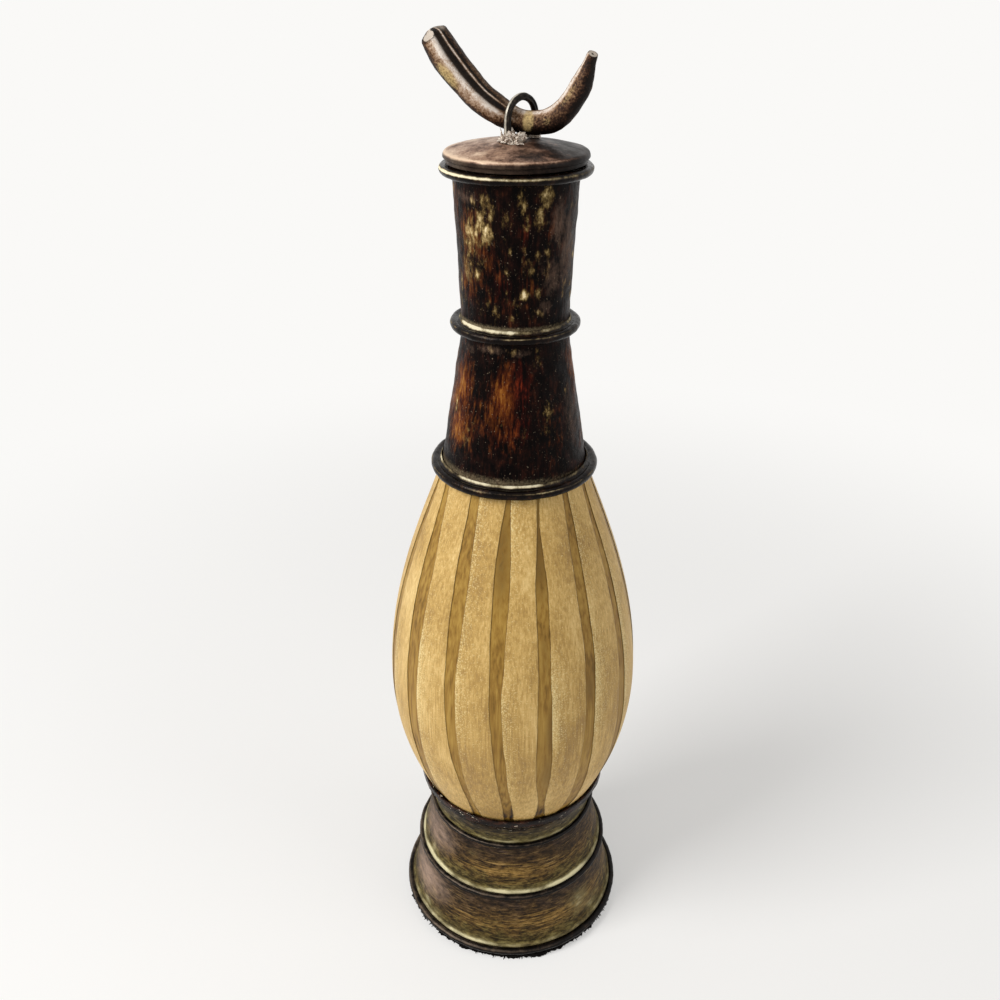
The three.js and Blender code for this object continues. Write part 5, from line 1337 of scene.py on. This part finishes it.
# Place along the lid and height over it, and radius, from the butt to the tip
HORN_STATIONS = (
    (-34.9, 38.2, 5.7), (-28.69, 28.8, 6.4), (-14.48, 13.98, 5.8), (0, 6.7, 4.5), (12.99, 7.81, 4.8),
    (22.1, 18.4, 4.4), (27.1, 31.5, 2.2))
HORN_RINGS = 120
HORN_FACETS = 144
CREASE_DEG = 27
CREASE_WIDTH_DEG = 15
CREASE_DEPTH_SHARE = 0.16
SECOND_CREASE_DEG = 55
SECOND_CREASE_WIDTH_DEG = 7
SECOND_CREASE_SHARE = 0.08
CREASE_END = 0.5
CREASE_FADE = 0.15
BUTT_ROUNDING = 0.02
BUTT_NARROWING = 0.12
BUTT_FACE = (0.02, 0.35, 0.62, 0.82, 0.94)
BUTT_CROWN = 1.8
WORN_FACET = 2.8
WORN_RIM = 0.4
TIP_ROUNDING = 0.012
TIP_NARROWING = 0.1
TIP_DOT = 0.3
TIP_FACE = (0.8, 0.5, 0.34, TIP_DOT, 0.02)
TIP_DOT_DEPTH = 0.5
TIP_SLANT_FROM = 0.97
TIP_SLANT = 0.4
LINE_STEP = 0.004
WORN_SHARE = 0.1
UNWORN_DEPTH = -9
LEAST_REACH = 0.03


def horn_line(share):
    """Middle of the horn in its own plane, and its radius, at a share of its length."""
    stations = np.array(HORN_STATIONS)
    spans = len(stations) - 1
    index = min(int(share * spans), spans - 1)
    part = share * spans - index
    first = stations[index - 1] if index else 2 * stations[0] - stations[1]
    last = stations[index + 2] if index + 2 <= spans else 2 * stations[-1] - stations[-2]
    a, b, c, d = (station[:2] for station in (first, stations[index], stations[index + 1], last))
    ab, bc, cd = (math.sqrt(np.linalg.norm(to - start)) for start, to in ((a, b), (b, c), (c, d)))
    leave = ((b - a) / ab - (c - a) / (ab + bc) + (c - b) / bc) * bc
    arrive = ((c - b) / bc - (d - b) / (bc + cd) + (d - c) / cd) * bc
    point = b + leave * part + (3 * (c - b) - 2 * leave - arrive) * part ** 2
    point = point + (2 * (b - c) + leave + arrive) * part ** 3
    ease = part * part * (3 - 2 * part)
    return point, stations[index][2] + (stations[index + 1][2] - stations[index][2]) * ease


def crease(degrees, share):
    """Share of the radius that the two creases take away."""
    fade = min(max((CREASE_END - share) / CREASE_FADE, 0), 1)
    off = math.remainder(degrees - CREASE_DEG, 360) / CREASE_WIDTH_DEG
    second_off = math.remainder(degrees - SECOND_CREASE_DEG, 360) / SECOND_CREASE_WIDTH_DEG
    return fade * (CREASE_DEPTH_SHARE * math.exp(-off * off)
                   + SECOND_CREASE_SHARE * math.exp(-second_off * second_off))


# Horn rubbed with bronze wax: pinkish tan on the crown and umber below as painted highlight and painted
# shade, black painted shade in the creases, yellow-green dabs some 8 mm across, dark pits under 1 mm, and
# bare bone where the butt and tip are worn
horn_finish, tree, surface, place = start_material("bronze_waxed_horn")
horn_cloud = add(tree, "TexNoise", {"Vector": place, "Scale": 0.13, "Detail": 5, "Roughness": 0.6})
horn_pits = add(tree, "TexNoise", {"Vector": place, "Scale": 1.2, "Detail": 4, "Roughness": 0.7})
horn_half = add(tree, "Math", {0: horn_cloud, 1: 0.5}, operation="MULTIPLY")
horn_mixed = add(tree, "Math", {0: horn_pits, 1: 0.55, 2: horn_half}, operation="MULTIPLY_ADD")
# The crown attribute adds painted highlights along the arms and painted shade below them.
crown = add(tree, "Attribute", attribute_name="crown").outputs["Fac"]
horn_tone = add(tree, "Math", {0: crown, 1: 0.27, 2: horn_mixed}, operation="MULTIPLY_ADD")
horn_colour = add(tree, "ValToRGB", {0: horn_tone}, ramp=[
    (0.38, "#120A06"), (0.48, "#3A251A"), (0.57, "#785A40"), (0.68, "#B29882"), (0.82, "#E6DACE")])
dabbed = add(tree, "Attribute", attribute_name="yellow").outputs["Fac"]
dab_cut = add(tree, "Math", {0: horn_pits, 1: dabbed}, operation="MULTIPLY")
dab_cover = add(tree, "MapRange", {"Value": dab_cut, "From Min": 0.25, "From Max": 0.68})
yellowed = add(tree, "Mix", {0: dab_cover, 6: horn_colour, 7: linear("#CDB27A")}, data_type="RGBA")
# Black painted shade in the creases and in the hollow tip.
creased = add(tree, "Attribute", attribute_name="crease").outputs["Fac"]
dark_horn = add(tree, "Mix", {0: creased, 6: yellowed, 7: linear("#0B0705")}, data_type="RGBA")
worn_end = add(tree, "Attribute", attribute_name="bare").outputs["Fac"]
bared = add(tree, "Mix", {0: worn_end, 6: dark_horn, 7: linear("#C0B4A6")}, data_type="RGBA")
horn_sheen = add(tree, "MapRange", {
    "Value": horn_pits, "From Min": 0.3, "From Max": 0.7, "To Min": 0.4, "To Max": 0.6})
horn_bump = add(tree, "Bump", {"Height": horn_pits, "Strength": 0.45, "Distance": 0.0004})
feed(tree, surface, {
    "Base Color": bared, "Roughness": horn_sheen, "Normal": horn_bump, "Metallic": 0.1,
    "Specular IOR Level": 0.1})

horn_shares = [(0, factor) for factor in BUTT_FACE]
horn_shares += [(step / HORN_RINGS, 1) for step in range(HORN_RINGS + 1)]
horn_shares += [(1, factor) for factor in TIP_FACE]
butt_end, butt_next = horn_line(0)[0], horn_line(LINE_STEP)[0]
butt_middle = Vector((butt_end[0], 0, butt_end[1]))
butt_run = Vector((butt_next[0] - butt_end[0], 0, butt_next[1] - butt_end[1])).normalized()
# The worn facet faces out of the butt, half to the front, and a little outwards of the bend
worn_way = -butt_run * 0.72 + Vector((0, -0.66, 0)) - Vector((-butt_run.z, 0, butt_run.x)) * 0.12
worn_way.normalize()
facet_depths = []
horn_degrees = [360 * facet / HORN_FACETS for facet in range(HORN_FACETS)]
rings = []
for share, factor in horn_shares:
    (along_mm, height_mm), radius = horn_line(share)
    ahead, behind = horn_line(min(share + LINE_STEP, 1))[0], horn_line(max(share - LINE_STEP, 0))[0]
    run = Vector((ahead[0] - behind[0], 0, ahead[1] - behind[1])).normalized()
    inward = Vector((-run.z, 0, run.x))
    radius *= factor * (1 - BUTT_NARROWING * max(1 - share / BUTT_ROUNDING, 0) ** 2)
    radius *= 1 - TIP_NARROWING * (1 - min((1 - share) / TIP_ROUNDING, 1))
    middle = Vector((along_mm, 0, height_mm))
    if share == 0:
        middle -= run * (BUTT_CROWN * (1 - factor * factor))
    elif factor <= TIP_DOT:
        middle -= run * TIP_DOT_DEPTH
    ring = []
    for degrees in horn_degrees:
        reach = max(radius, LEAST_REACH) * (1 - crease(degrees, share))
        turning = math.radians(degrees)
        point = middle + inward * (reach * math.sin(turning)) + Vector((0, -reach * math.cos(turning), 0))
        slant = max(share - TIP_SLANT_FROM, 0) / (1 - TIP_SLANT_FROM)
        point -= run * (TIP_SLANT * slant * reach * math.cos(turning))
        worn_depth = worn_way.dot(point - butt_middle) - WORN_FACET if share < WORN_SHARE else UNWORN_DEPTH
        point -= worn_way * max(worn_depth, 0)
        facet_depths.append(worn_depth)
        ring.append((LOOP_X + point.x * horn_along.x - point.y * horn_along.y,
                     point.x * horn_along.y + point.y * horn_along.x, LID_TOP_Z + point.z))
    rings.append(ring)
horn_handle, ring, facet = loft("horn_handle", rings)
for depth, size in ((0.3, 7), (0.14, 2.2)):
    uneven(horn_handle, depth, size)
at_share = np.array([share for share, factor in horn_shares])[ring]
at_factor = np.array([factor for share, factor in horn_shares])[ring]
at_degrees = (np.array(horn_degrees)[facet] + 180) % 360 - 180
crease_values = np.array([crease(degrees, share) for degrees, share in zip(at_degrees, at_share)])
on_thick_arm = np.clip((CREASE_END - at_share) / CREASE_FADE, 0, 1)
at_depth = np.array(facet_depths).reshape(len(horn_shares), HORN_FACETS)[ring, facet]
on_tip_face = (at_share == 1) & (at_factor < 1)
on_tip_dot = (at_share == 1) & (at_factor <= TIP_DOT)
past_loop = 1 - on_thick_arm
ridge = near(at_degrees, 43, 3.5) * on_thick_arm
# Painted highlight and painted shade bands along the arms: strength, degrees round the horn from the front,
# spread
THICK_ARM_LIGHT_AND_SHADE = ((1.3, 4, 13), (0.4, -20, 18), (-0.7, -85, 36))
THIN_ARM_LIGHT_AND_SHADE = ((1.25, 62, 15), (0.3, -78, 10), (-0.65, -50, 40))
# Yellow dabs: strength, share of the length and its spread, degrees round the horn and their spread
YELLOW_DABS = (
    (1.3, 0.2, 0.06, -32, 30), (2, 0.535, 0.026, 25, 60), (0.6, 0.63, 0.05, 10, 40),
    (0.7, 0.8, 0.1, 30, 26), (0.6, 0.06, 0.05, -10, 25))
thick_arm_light_and_shade = sum(strength * near(at_degrees, *band) for strength, *band in THICK_ARM_LIGHT_AND_SHADE)
thin_arm_light_and_shade = sum(strength * near(at_degrees, *band) for strength, *band in THIN_ARM_LIGHT_AND_SHADE)
# crown: painted highlight and shade. crease: black painted shade in the creases and hollow tip, a dark band
# inside the thick arm, a line round the worn butt.
HORN_MARKS = {
    "crown": thick_arm_light_and_shade * on_thick_arm + 0.9 * ridge + past_loop * (thin_arm_light_and_shade - 0.04)
    + 0.4 * near(at_share, 0.56, 0.06) * near(at_degrees, 20, 50),
    "yellow": sum(strength * near(at_share, share, length) * near(at_degrees, degrees, width)
                  for strength, share, length, degrees, width in YELLOW_DABS),
    "crease": (np.clip(crease_values / 0.09, 0, 1) * 0.96 + 0.7 * on_thick_arm * near(at_degrees, 86, 26))
    * (1 - 0.8 * ridge) + on_tip_dot + 0.85 * near(at_depth, -WORN_RIM / 2, WORN_RIM / 2),
    "bare": 0.95 * (at_depth > 0) + 0.8 * (on_tip_face & ~on_tip_dot)
    + 0.45 * near(at_share, 0.006, 0.014) * near(at_degrees, 66, 14),
}
for layer, values in HORN_MARKS.items():
    mark(horn_handle, layer, np.clip(values, -1, 1))
fit(horn_handle, horn_finish, "bronzed_horn", "horn", "horn")
